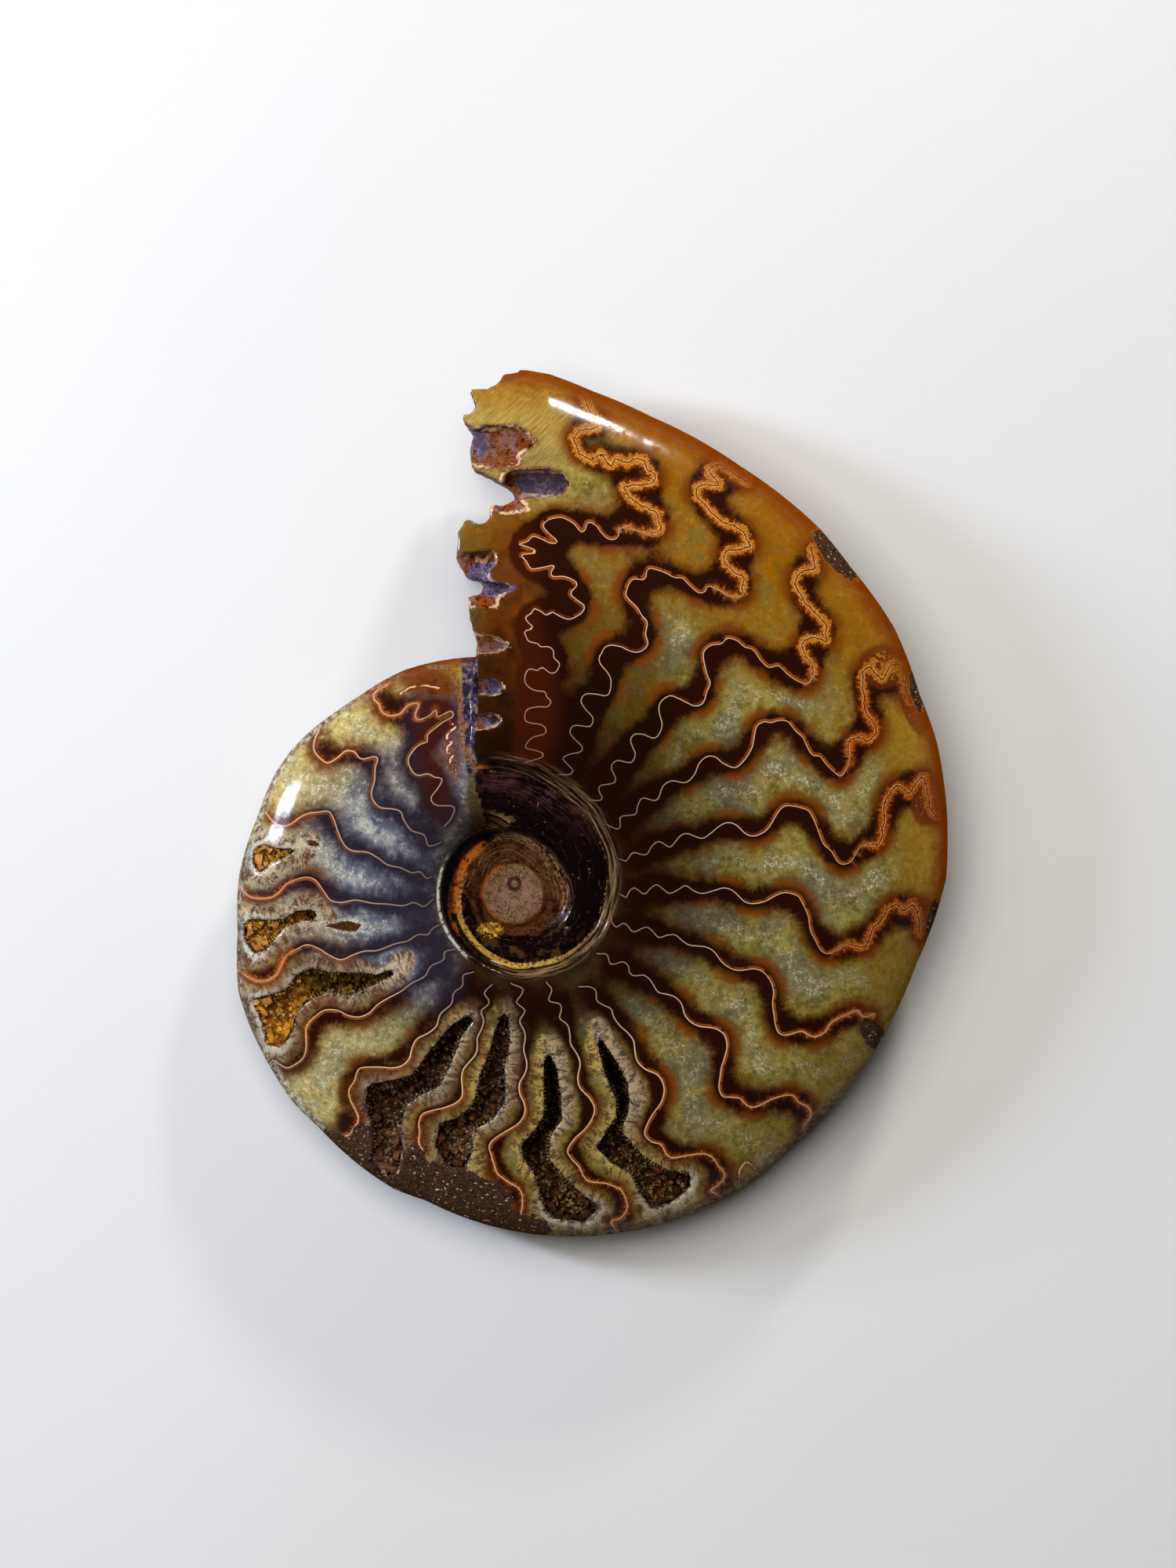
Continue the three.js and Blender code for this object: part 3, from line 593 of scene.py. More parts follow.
def nearest(traces: Iterable[Points], xy: np.ndarray, reach: float) -> np.ndarray:
    """Distances from the nearest of several open lines."""
    return np.min([np.abs(Line(corners).distances(xy, reach)[0]) for corners in traces], axis=0)


def inside(outlines: Iterable[Line], xy: np.ndarray) -> np.ndarray:
    """Distances from the nearest of several outlines, negative inside it."""
    return np.min([outline.signed(xy) for outline in outlines], axis=0)


@dataclass(frozen=True)
class Patch:
    """A soft-edged patch of another colour on the face."""

    x_px: float
    y_px: float
    wide_px: float
    high_px: float
    turn: float = 0
    strength: float = 1
    soft_edge: tuple[float, float] = (0.55, 1.15)

    def weight(self, xy: np.ndarray) -> np.ndarray:
        """How strongly the patch shows.

        Args:
            xy: Places on the face, in millimetres.

        Returns:
            Its share at each, from 0 to 1.
        """
        x, y = (xy - place((self.x_px, self.y_px))).T
        cos, sin = math.cos(math.radians(self.turn)), math.sin(math.radians(self.turn))
        u = (x * cos + y * sin) / (self.wide_px * MM_PER_PX)
        v = (y * cos - x * sin) / (self.high_px * MM_PER_PX)
        return self.strength * (1 - eased(*self.soft_edge, np.hypot(u, v)))


class Zone(Enum):
    """The parts of the face that have a colour of their own; the blue one's blue-grey is partly a painted
    bluish sheen.
    """

    BLUE_AND_SHEEN = "blue_and_sheen"
    PALE = "pale"
    AMBER = "amber"
    GRIT = "grit"
    EMBER = "ember"
    RUST = "rust"
    VIOLET = "violet"


# The patches of each zone: the middle and the reach in pixels, the turn in degrees and the strength
ZONES: dict[Zone, tuple[tuple[float, ...], ...]] = {
    # Blue-grey calcite on the left whorl, partly a painted bluish sheen
    Zone.BLUE_AND_SHEEN: (
        (500, 1120, 95, 120), (455, 1060, 90, 60, 20, 0.7), (530, 1200, 80, 70, 0, 0.9),
        (430, 1180, 90, 60, 0, 0.5), (500, 1000, 60, 60, 0, 0.7), (545, 930, 40, 80, 0, 0.5),
        (350, 1120, 50, 60, 0, 0.35), (552, 1250, 46, 44, 0, 0.75), (582, 955, 22, 90, 0, 0.95),
        (578, 1045, 26, 60, 0, 0.6),
    ),
    Zone.PALE: (
        (400, 960, 120, 90, -40, 0.9), (500, 900, 70, 40, 25, 0.7), (350, 1060, 60, 60, 0, 0.8),
        (385, 1385, 80, 60, -40, 1), (340, 1150, 50, 60, 0, 0.7), (450, 1330, 80, 60, 20, 0.6),
        (340, 1250, 50, 40, 0, 0.5),
    ),
    Zone.AMBER: (
        (700, 520, 130, 60, -10, 0.6), (640, 700, 70, 70, 0, 1), (668, 880, 80, 170, 0, 1),
        (850, 570, 120, 60, -30, 1), (880, 680, 120, 110, -30, 0.75), (1010, 700, 100, 70, -45, 1),
        (960, 800, 110, 70, -40, 0.7), (1110, 810, 80, 80, -50, 0.95), (760, 900, 120, 130, 0, 0.75),
        (760, 740, 110, 110, 0, 0.65), (1175, 960, 60, 130, 0, 0.7), (1185, 1110, 50, 100, 0, 0.5),
        (1150, 1250, 50, 80, 30, 0.5), (1070, 1380, 40, 60, 40, 0.2), (1090, 900, 90, 70, -40, 0.35),
    ),
    Zone.GRIT: (
        (1067, 707, 44, 17, -50, 1), (1170, 880, 10, 30, 10, 0.8), (575, 1508, 46, 28, -15, 1),
        (1192, 1170, 10, 28, -10, 0.8), (1115, 1320, 16, 28, 30, 0.7), (432, 1468, 36, 20, -42, 1),
        (505, 1516, 64, 20, -28, 1), (600, 1546, 80, 22, -15, 1), (528, 1500, 20, 44, 0, 0.9),
        (610, 1530, 50, 30, 0, 0.8), (660, 1566, 50, 18, -5, 0.9), (462, 1462, 20, 34, 0, 0.8),
    ),
    Zone.EMBER: (
        (545, 870, 60, 30, -30, 1), (560, 960, 34, 90, 0, 0.8), (655, 760, 40, 120, 0, 0.7),
        (660, 900, 60, 130, 0, 0.9), (650, 590, 60, 40, 0, 0.4), (640, 830, 50, 120, 0, 0.7),
    ),
    Zone.RUST: (
        (1126, 850, 34, 30, 0, 1), (1166, 890, 20, 52, 12, 1), (932, 596, 36, 16, -30, 0.9),
        (1100, 738, 26, 14, -45, 0.9), (1045, 694, 12, 18, 20, 0.8), (1182, 1020, 22, 36, -10, 0.9),
        (1180, 1168, 20, 28, 10, 0.8), (1112, 1312, 18, 26, 20, 0.8), (640, 478, 44, 12, 12, 0.7),
    ),
    Zone.VIOLET: (
        (690, 615, 36, 24, -10, 1), (650, 748, 22, 36, 0, 1), (622, 738, 30, 26, 0, 0.8),
        (650, 900, 40, 90, 0, 0.7), (610, 560, 20, 40, 0, 0.4),
    ),
}


# A plain colour, or one that the nodes work out
Tint = Pigment | bpy.types.NodeSocket


class Value:
    """A number on its way through a shader, with Python's own operators."""

    def __init__(self, shader: Shader, socket: bpy.types.NodeSocket) -> None:
        """Keeps the shader and the socket that the number comes from."""
        self.shader = shader
        self.socket = socket

    def math(self, operation: str, *values: Value | float) -> Value:
        """The result of one Math node."""
        made = self.shader.node("Math", {"operation": operation}, dict(enumerate(values)))
        return Value(self.shader, made.outputs[0])

    def __add__(self, other: Value | float) -> Value:
        """Sum."""
        return self.math("ADD", self, other)

    __radd__ = __add__

    def __sub__(self, other: Value | float) -> Value:
        """Difference."""
        return self.math("SUBTRACT", self, other)

    def __rsub__(self, other: Value | float) -> Value:
        """Difference from a number."""
        return self.math("SUBTRACT", other, self)

    def __mul__(self, other: Value | float) -> Value:
        """Product."""
        return self.math("MULTIPLY", self, other)

    __rmul__ = __mul__

    def __truediv__(self, other: Value | float) -> Value:
        """Quotient."""
        return self.math("DIVIDE", self, other)

    def __rpow__(self, other: Value | float) -> Value:
        """Power of a number."""
        return self.math("POWER", other, self)

    def __neg__(self) -> Value:
        """The negative."""
        return 0 - self

    def __abs__(self) -> Value:
        """Distance from nought."""
        return self.math("ABSOLUTE", self)

    def __or__(self, other: Value | float) -> Value:
        """The larger of two masks."""
        return self.math("MAXIMUM", self, other)

    def rise(self, low: Value | float, high: Value | float) -> Value:
        """0 below low, 1 above high and a smooth step between them."""
        made = self.shader.node(
            "MapRange",
            {"interpolation_type": "SMOOTHSTEP"},
            {"Value": self, "From Min": low, "From Max": high},
        )
        return Value(self.shader, made.outputs[0])

    def fall(self, low: Value | float, high: Value | float) -> Value:
        """1 below low, 0 above high and a smooth step between them."""
        return 1 - self.rise(low, high)


class Shader:
    """A material and its nodes, in millimetres."""

    def __init__(self, name: str) -> None:
        """Starts an empty material."""
        self.material = bpy.data.materials.new(name)
        self.material.use_nodes = True
        self.nodes = self.material.node_tree.nodes
        self.links = self.material.node_tree.links
        self.nodes.clear()
        self.here = self.vector("MULTIPLY", self.node("TexCoord").outputs["Object"], (1000, 1000, 1000))

    def node(self, kind: str, settings: dict | None = None, inputs: dict | None = None) -> bpy.types.Node:
        """Adds a node.

        Args:
            kind: The node's type, without ShaderNode.
            settings: Its properties, which are set first.
            inputs: Values, or links from other nodes, for its sockets by name or number.

        Returns:
            The node.
        """
        made = self.nodes.new("ShaderNode" + kind)
        for name, value in (settings or {}).items():
            setattr(made, name, value)
        for name, value in (inputs or {}).items():
            if isinstance(value, Value):
                value = value.socket
            if isinstance(value, bpy.types.NodeSocket):
                self.links.new(value, made.inputs[name])
            else:
                made.inputs[name].default_value = value
        return made

    def vector(self, operation: str, *values: bpy.types.NodeSocket | Triple) -> bpy.types.NodeSocket:
        """The result of one Vector Math node."""
        return self.node("VectorMath", {"operation": operation}, dict(enumerate(values))).outputs[0]

    def point(self, x: Value | float, y: Value | float, z: Value | float = 0) -> bpy.types.NodeSocket:
        """Three numbers as a place."""
        return self.node("CombineXYZ", None, {0: x, 1: y, 2: z}).outputs[0]

    def reach(self, at: bpy.types.NodeSocket, way: Triple) -> Value:
        """How far a place lies along a direction."""
        made = self.node("VectorMath", {"operation": "DOT_PRODUCT"}, {0: at, 1: way})
        return Value(self, made.outputs["Value"])

    def toward(self, x: float, y: float, z: float = 0) -> Value:
        """How far this place lies along a direction, in centimetres where its length is 0.1."""
        return self.reach(self.here, (x, y, z))

    def length(self, at: bpy.types.NodeSocket) -> Value:
        """How long a vector is."""
        return Value(self, self.node("VectorMath", {"operation": "LENGTH"}, {0: at}).outputs["Value"])

    def __getitem__(self, name: str) -> Value:
        """A number that the mesh carries."""
        return Value(self, self.node("Attribute", {"attribute_name": name}).outputs["Fac"])

    def noise(
        self,
        scale: float,
        detail: float = 4,
        roughness: float = 0.55,
        at: bpy.types.NodeSocket | None = None,
    ) -> Value:
        """Soft noise from 0 to 1.

        Args:
            scale: Features in each millimetre.
            detail: How many finer layers it has.
            roughness: How strong the finer layers are.
            at: Where it is read, or the place on the piece.

        Returns:
            The noise.
        """
        inputs = {"Vector": at or self.here, "Scale": scale, "Detail": detail, "Roughness": roughness}
        return Value(self, self.node("TexNoise", None, inputs).outputs[0])

    def blend(self, first: Tint, second: Tint, share: Value | float) -> bpy.types.NodeSocket:
        """The first colour with a share of the second over it."""
        return self.node("Mix", {"data_type": "RGBA"}, {0: share, 6: first, 7: second}).outputs[2]

    def coats(self, colour: Tint, *coats: tuple[Tint, Value | float]) -> bpy.types.NodeSocket:
        """A colour with others over it.

        Args:
            colour: The lowest colour.
            coats: The others from below upwards, each with its share.

        Returns:
            The colour.
        """
        for second, share in coats:
            colour = self.blend(colour, second, share)
        return colour

    def finish(self, surface: dict, bump: Value, depth: float) -> bpy.types.Material:
        """Ends the material.

        Args:
            surface: Values and links for the Principled shader's sockets.
            bump: The height of its fine relief.
            depth: How much one unit of that height stands up, in millimetres.

        Returns:
            The material.
        """
        relief = self.node("Bump", None, {"Strength": 1, "Distance": depth * MM, "Height": bump})
        shader = self.node("BsdfPrincipled", None, {**surface, "Normal": relief.outputs[0]})
        self.node("OutputMaterial", None, {"Surface": shader.outputs[0]})
        return self.material


@dataclass(frozen=True)
class PolishedCalcite:
    """The cut face: calcite of many browns between wavy septa, a raw navel and a raw mouth."""

    cream: Pigment = pigment(224, 184, 150)
    orange: Pigment = pigment(150, 74, 14)
    light_orange: Pigment = pigment(198, 136, 56)
    golden: Pigment = pigment(162, 98, 26)
    rust: Pigment = pigment(96, 40, 6)
    black: Pigment = pigment(34, 11, 3)
    soot: Pigment = pigment(24, 8, 3)
    brown: Pigment = pigment(88, 47, 8)
    glow: Pigment = pigment(108, 52, 5)
    burnt: Pigment = pigment(52, 18, 2)
    honey: Pigment = pigment(96, 66, 8)
    fog: Pigment = pigment(126, 118, 80)
    olive: Pigment = pigment(104, 86, 28)
    yellow: Pigment = pigment(138, 120, 54)
    wisp: Pigment = pigment(204, 198, 172)
    smoke: Pigment = pigment(92, 86, 66)
    night: Pigment = pigment(34, 28, 38)
    dusk_blue: Pigment = pigment(62, 60, 72)
    amber: Pigment = pigment(140, 86, 1)
    deep_amber: Pigment = pigment(94, 52, 2)
    ochre: Pigment = pigment(148, 114, 28)
    ember: Pigment = pigment(100, 44, 4)
    deep_ember: Pigment = pigment(60, 20, 2)
    edge: Pigment = pigment(116, 50, 2)
    slate: Pigment = pigment(68, 76, 96)
    mist: Pigment = pigment(142, 140, 136)
    stone: Pigment = pigment(134, 118, 92)
    moss: Pigment = pigment(74, 62, 24)
    lichen: Pigment = pigment(166, 152, 96)
    straw: Pigment = pigment(176, 154, 88)
    crystal: Pigment = pigment(158, 134, 100)
    crystal_foot: Pigment = pigment(72, 54, 42)
    citrine: Pigment = pigment(164, 138, 76)
    citrine_foot: Pigment = pigment(76, 58, 30)
    pearl: Pigment = pigment(190, 182, 160)
    ivory: Pigment = pigment(196, 174, 104)
    copper: Pigment = pigment(182, 102, 30)
    sediment: Pigment = pigment(76, 54, 36)
    sediment_dark: Pigment = pigment(36, 24, 16)
    sand: Pigment = pigment(206, 192, 166)
    plum: Pigment = pigment(12, 5, 5)
    mauve: Pigment = pigment(72, 42, 38)
    umber: Pigment = pigment(78, 48, 24)
    bronze: Pigment = pigment(134, 100, 62)
    gold: Pigment = pigment(206, 160, 60)
    limonite: Pigment = pigment(190, 98, 18)
    plug: Pigment = pigment(130, 98, 76)
    violet: Pigment = pigment(80, 70, 100)
    rose: Pigment = pigment(136, 96, 84)
    nacre_edge: Pigment = pigment(206, 172, 128)
    lilac: Pigment = pigment(158, 146, 176)
    # Middles of violet spots in the umbilicus, painted as a bluish reflection, in millimetres from its
    # middle
    reflection_spots: tuple[Triple, ...] = ((6.3, -2.3, 0), (14.2, -5, 0))

    def daylight(self, s: Shader) -> Value:
        """How much the calcite lightens on the way out from the umbilicus."""
        rim = s["rim"]
        # In the blue zone the calcite lightens nearer the umbilicus, partly as a painted bluish sheen
        return rim.rise(-0.06, 0.66) | (s["blue_and_sheen"] | s["pale"]) * rim.rise(-0.1, 0.25)

    def core(self, s: Shader) -> bpy.types.NodeSocket:
        """The middle of the chambers, olive inside, amber outside and grey where it is cloudy.

        Args:
            s: The material's shader.

        Returns:
            The colour.
        """
        rim, blue_and_sheen, pale, amber = s["rim"], s["blue_and_sheen"], s["pale"], s["amber"]
        lit = blue_and_sheen | pale
        soft, broad, frost = s.noise(0.42, 5, 0.6), s.noise(0.11, 3), s.noise(0.75, 8, 0.74)
        mottle = s.noise(1.15, 6, 0.74)
        outermost = rim.rise(0.78, 0.95) * (1 - lit) * (s.toward(0.02, 0.1).rise(-2.2, 0.2) * 0.7 + 0.3)
        strong = amber * s.toward(0, 0.1).rise(0.8, 2.6) | soft.rise(0.58, 0.7) * 0.8
        orange = s.blend(self.deep_amber, self.amber, rim.rise(0.35, 0.85) * 0.75 + soft * 0.3)
        orange = s.blend(self.ochre, orange, strong)
        bright = s.blend(self.stone, self.straw, broad.rise(0.4, 0.56) | rim.rise(0.7, 0.95))
        bright = s.blend(bright, self.fog, soft.fall(0.36, 0.5) * 0.8)
        middle = abs(s["across"] - 0.5 + (soft - 0.5) * 0.6)
        cloud = middle.fall(0.02, 0.32) * s.noise(0.34, 3).rise(0.4, 0.58) * rim.rise(0.1, 0.4)
        cloud = cloud * amber.fall(0, 0.6)
        sparkle = abs(frost - 0.5).fall(0, 0.05) * s.noise(2.6, 4, 0.7).rise(0.42, 0.6)
        sparkle = sparkle * middle.fall(0.02, 0.2) * (cloud * 0.6 + 0.4) * amber.fall(0, 0.5)
        light_spots = mottle.rise(0.54, 0.64) * (0.5 + lit * 0.2) * (1 - amber * 0.8)
        colour = s.coats(
            self.olive,
            (self.yellow, soft.rise(0.36, 0.58)),
            (self.smoke, broad.rise(0.47, 0.58) * rim.fall(0.6, 0.9) * 0.85),
            (self.honey, amber * 0.9),
            (orange, amber * soft.fall(0.46, 0.62) * rim.rise(0.3, 0.7) | outermost),
            (bright, pale * 0.95),
            # Slate and mist in the blue zone: blue-grey calcite, partly a painted bluish sheen
            (s.blend(self.slate, self.mist, soft.rise(0.4, 0.64)), blue_and_sheen),
            (s.blend(self.moss, self.dusk_blue, blue_and_sheen), mottle.fall(0.38, 0.5) * 0.6 * (1 - amber * 0.6)),
            (s.blend(self.lichen, self.wisp, lit), light_spots),
            (s.blend(self.fog, self.mist, blue_and_sheen), cloud * 0.5),
            (self.wisp, sparkle * rim.rise(0.1, 0.4)),
            (s.blend(self.ember, self.soot, soft.fall(0.35, 0.55) * 0.7), s["ember"] * 0.95),
        )
        return s.blend(self.soot, colour, self.daylight(s))

    def beside_cavity(self, s: Shader, fibre: Value) -> bpy.types.NodeSocket:
        """The crystals cut through round the cavities, yellow towards the mouth and grey behind.

        Args:
            s: The material's shader.
            fibre: The crystals' own noise.

        Returns:
            The colour.
        """
        rim, lit = s["rim"], s["blue_and_sheen"] | s["pale"]
        near = s["cavity"].fall(0.1, 1.3) * 0.3
        cut = fibre.rise(0.44, 0.56) * 0.95 + near * 0.6
        sunny = s.toward(0.1, 0).rise(-2.6, -1.8) * (1 - lit * 0.6)
        yellow = s.blend(self.citrine_foot, self.citrine, cut)
        return s.coats(
            s.blend(self.crystal_foot, self.crystal, cut),
            (yellow, (s["across"].fall(0.35, 0.6) | rim.rise(0.55, 0.75)) * sunny),
            (self.umber, (1 - sunny) * (1 - lit) * fibre.fall(0.4, 0.7) * 0.8),
            (self.pearl, (rim.rise(0.8, 0.92) | lit * 0.5) * (fibre + near * 0.6).rise(0.48, 0.66) * 0.7),
        )

    def chambers(self, s: Shader) -> bpy.types.NodeSocket:
        """The calcite of the chambers, black in the septa's folds and glowing brown outside them.

        Args:
            s: The material's shader.

        Returns:
            The colour.
        """
        away, along, crowd, rim = s["away"], s["along"], s["crowd"], s["rim"]
        blue_and_sheen, pale, amber, near_cavity = s["blue_and_sheen"], s["pale"], s["amber"], s["cavity"]
        fine, fibre = s.noise(3.2, 4, 0.65), s.noise(1, 4, 0.65, s.point(along * 4.2, away * 0.9))
        teeth = s.noise(1, 4, 0.7, s.point(along * 1.7, away * 0.45))
        # In the blue zone the darks and browns turn bluish, partly a painted bluish sheen
        lit, night = blue_and_sheen | pale, s.blend(self.soot, self.night, blue_and_sheen)
        beside = near_cavity.fall(1.5, 3.4)
        lower = s.toward(0, -0.1).rise(0.5, 2) * pale
        uneven = (teeth - 0.5) * 0.5 + (s.noise(0.45, 3) - 0.5) * 0.6 + (fine - 0.5) * 0.36
        folded = 1 + amber * 0.06 - pale * 0.3 + lower * 0.3 - blue_and_sheen * 0.12 - beside * 0.4
        folds = crowd * folded + uneven
        straight = BELL ** (away * away * BELL_FALL)
        outward = (straight - crowd + uneven * 0.12).rise(-0.01, 0.1)
        texture = fibre * 0.3 + teeth * 0.4 + fine * 0.3
        glints = texture.rise(0.53, 0.66) * (0.05 + lit * 0.45 - (lower | blue_and_sheen) * 0.15) * (1 - amber)
        frayed = near_cavity + uneven * 1.4 + (fine - 0.5) * 0.9 + (s.noise(0.3, 2) - 0.5) * 6
        brown = s.blend(self.brown, self.dusk_blue, blue_and_sheen)
        brown = s.blend(self.soot, brown, self.daylight(s) * 0.8 + 0.1)
        warm = (1 - blue_and_sheen) * (1 - pale * 0.6) * rim.rise(0.15, 0.4) * (1 - beside * 0.6)
        halo = outward * (away + uneven * 1.4).fall(0.8, 2.7 + amber * 0.8) * warm * 0.9
        dark = s.blend(s.blend(self.black, self.soot, rim.fall(0.2, 0.5)), self.night, blue_and_sheen)
        dark = s.blend(dark, self.deep_ember, s["ember"] * 0.85)
        bitten = (near_cavity + (teeth * 0.6 + fine * 0.4 - 0.5) * 3.4).fall(0, 0.3)
        lip = near_cavity + (teeth * 0.5 + fine * 0.5 - 0.5) * 1.6
        return s.coats(
            self.core(s),
            (s.blend(self.ivory, self.pearl, blue_and_sheen), glints),
            (night, texture.fall(0.34, 0.48) * (0.3 + lit * 0.25)),
            (self.beside_cavity(s, teeth * 0.7 + fine * 0.3), frayed.fall(1.5, 2.3)),
            (brown, folds.rise(0.3, 0.76) * 0.85),
            (s.blend(self.burnt, self.glow, away.rise(0.3, 1.5)), halo),
            (dark, folds.rise(0.56, 0.94) * (1 - outward * warm * 0.92)),
            (dark, (away + uneven * 0.4).fall(0.25, 0.7) * 0.8),
            (s.blend(self.soot, self.deep_amber, lit * 0.7), bitten * 0.9),
            (self.pearl, lip.fall(0.1, 0.32) * fine.rise(0.4, 0.56) * (0.2 + lit * 0.35)),
        )

    def septa(self, s: Shader, under: bpy.types.NodeSocket) -> bpy.types.NodeSocket:
        """The septa over the chambers, thin and pale inside, frilled rusty crusts towards the venter.

        Args:
            s: The material's shader.
            under: The chambers' colour.

        Returns:
            The colour.
        """
        rim, along, away, septum = s["rim"], s["along"], s["away"], s["septum"]
        amber, rusty, left = s["amber"], s["rust"], s["pale"] | s["blue_and_sheen"]
        upper, below = s.toward(0, 0.1).rise(1, 2.2), s.toward(0, -0.1).rise(2.2, 3.4)
        mouthward = s.toward(-0.1, 0.1).rise(3.6, 4.4)
        frill, clump = s.noise(1, 3, 0.65, s.point(along * 2.3, septum * 0.9)), s.noise(1.5, 5, 0.7)
        sway, grain = s.noise(1, 2, 0.5, s.point(along * 0.8, 0)), s.noise(4.6, 4, 0.7)
        plain = left | below
        wide = (rim + amber * 0.05 + (sway - 0.5) * 0.2).rise(0.7, 0.78)
        wide = wide * (1 - left * 0.8) * (1 - below * 0.3)
        line = abs(septum) | (away - 0.25)
        ragged = line + (frill - 0.5) * 2 + (clump - 0.5) * 1.1 + plain * 0.4 - mouthward * 0.1
        ragged = ragged - rim.rise(0.86, 0.97) * (1 - left) * 0.2
        stained = ragged.fall(0.75, 1.2) * wide * 0.85 | (rusty + (clump - 0.5)).rise(0.1, 0.5) * 0.8
        lumps = (rusty * 0.45 + clump * 0.7 + grain * 0.3).rise(0.95, 0.99)
        crust = s.coats(
            s.blend(self.orange, self.golden, upper | below),
            (
                s.blend(self.copper, self.light_orange, upper | below * 0.6),
                (grain + left * 0.05).rise(0.53, 0.62) * 0.85,
            ),
            (self.rust, (grain * 0.5 + clump * 0.5).fall(0.38, 0.5) * 0.9),
        )
        thread = abs(septum + (sway - 0.5) * wide * 0.7) | (away - 0.45)
        flank = (abs(septum + 0.26) | (away - 0.45)).fall(0.1, 0.2)
        flank = flank * rim.rise(0.35, 0.5) * sway.rise(0.36, 0.5)
        hairline = s["hairline"] + (grain - 0.5) * 0.2
        beads = (abs(thread - 0.16) + (grain - 0.5) * 0.1).fall(0.03, 0.08)
        beads = beads * (frill + left * 0.1).rise(0.44, 0.52)
        beads = beads * wide * (1 - plain) * 0.85 | hairline.fall(0.08, 0.18)
        core = line.fall(0.02, 0.095 + plain * 0.04) * (1 - wide * (1 - plain))
        core = core * (rim.rise(0.02, 0.5) * 0.66 + 0.34) * (1 - left * 0.2) * (1 - s["blue_and_sheen"] * 0.25)
        reddish = rim.rise(0.4, 0.8) * (1 - sway * 0.6) * (1 - plain * 0.7)
        pit = s["pit"] + (grain - 0.5) * 0.4
        return s.coats(
            under,
            (self.rust, stained),
            (crust, ragged.fall(0.52, 0.64) * wide | lumps),
            (self.burnt, thread.fall(0.05, 0.13) * wide * 0.85 * (1 - plain)),
            (s.blend(self.orange, self.umber, left * 0.9), flank * (1 - wide) * (0.7 + left * 0.2)),
            (self.rust, hairline.fall(0.15, 0.55) * 0.7),
            (s.blend(self.cream, self.light_orange, reddish), core * (0.66 + grain * 0.4) | beads),
            (self.pearl, pit.fall(0.3, 0.5) * grain.rise(0.44, 0.54) * 0.55),
            (s.blend(self.burnt, self.umber, grain.rise(0.45, 0.6)), pit.fall(-0.15, 0.05)),
        )

    def sediment_patches(self, s: Shader, under: bpy.types.NodeSocket) -> bpy.types.NodeSocket:
        """Gritty sediment in the outer chambers.

        Args:
            s: The material's shader.
            under: The colour without it.

        Returns:
            The colour.
        """
        sandy = s.coats(
            s.blend(self.sediment, self.sediment_dark, s.noise(3, 5, 0.7).rise(0.4, 0.6)),
            (self.umber, s.noise(0.6, 5, 0.7).rise(0.5, 0.66) * 0.7),
            (self.sand, s.noise(2.1, 2, 0.6).rise(0.645, 0.7) * 0.9),
        )
        grit = s["grit"] + (s.noise(0.9, 5, 0.7) - 0.5) * 1.3
        gritty = s["grit"].rise(0.02, 0.14)
        rusty_rim = abs(grit - 0.26).fall(0.03, 0.12) * s.toward(0, 0.1).rise(0, 0.5)
        return s.coats(
            under,
            (self.orange, rusty_rim * gritty * 0.8),
            (sandy, grit.rise(0.3, 0.4) * gritty),
        )

    def navel(self, s: Shader) -> bpy.types.NodeSocket:
        """The open umbilicus: a sandy plug, bronze rings and the dark flanks of the whorls before.

        Args:
            s: The material's shader.

        Returns:
            The colour.
        """
        flat = s.vector("MULTIPLY", s.vector("SUBTRACT", s.here, (*UMBILICUS, 0)), (1, 1, 0))
        radius = s.length(flat)
        low_left, left, up = (s.reach(flat, way) for way in ((-0.06, -0.08, 0), (-0.12, 0, 0), (0, 0.1, 0)))
        seam, ring, around = s["seam"], s["ring"], s["round"]
        fine, stain, specks = s.noise(2.2, 6, 0.7), s.noise(0.5, 5, 0.6), s.noise(1.5, 6, 0.7)
        streaks = s.noise(1, 4, 0.65, s.point(seam * 3.2, around * 0.18))
        hoops = s.noise(1, 4, 0.65, s.point(ring * 3.4, around * 0.22 + 7))
        sheen = up.rise(0.5, 1.4) * seam.rise(-5, -0.8) * (stain * 0.4 + streaks * 0.6).rise(0.44, 0.6)
        sheen = sheen | (streaks * 0.7 + fine * 0.3).rise(0.55, 0.64) * 0.35
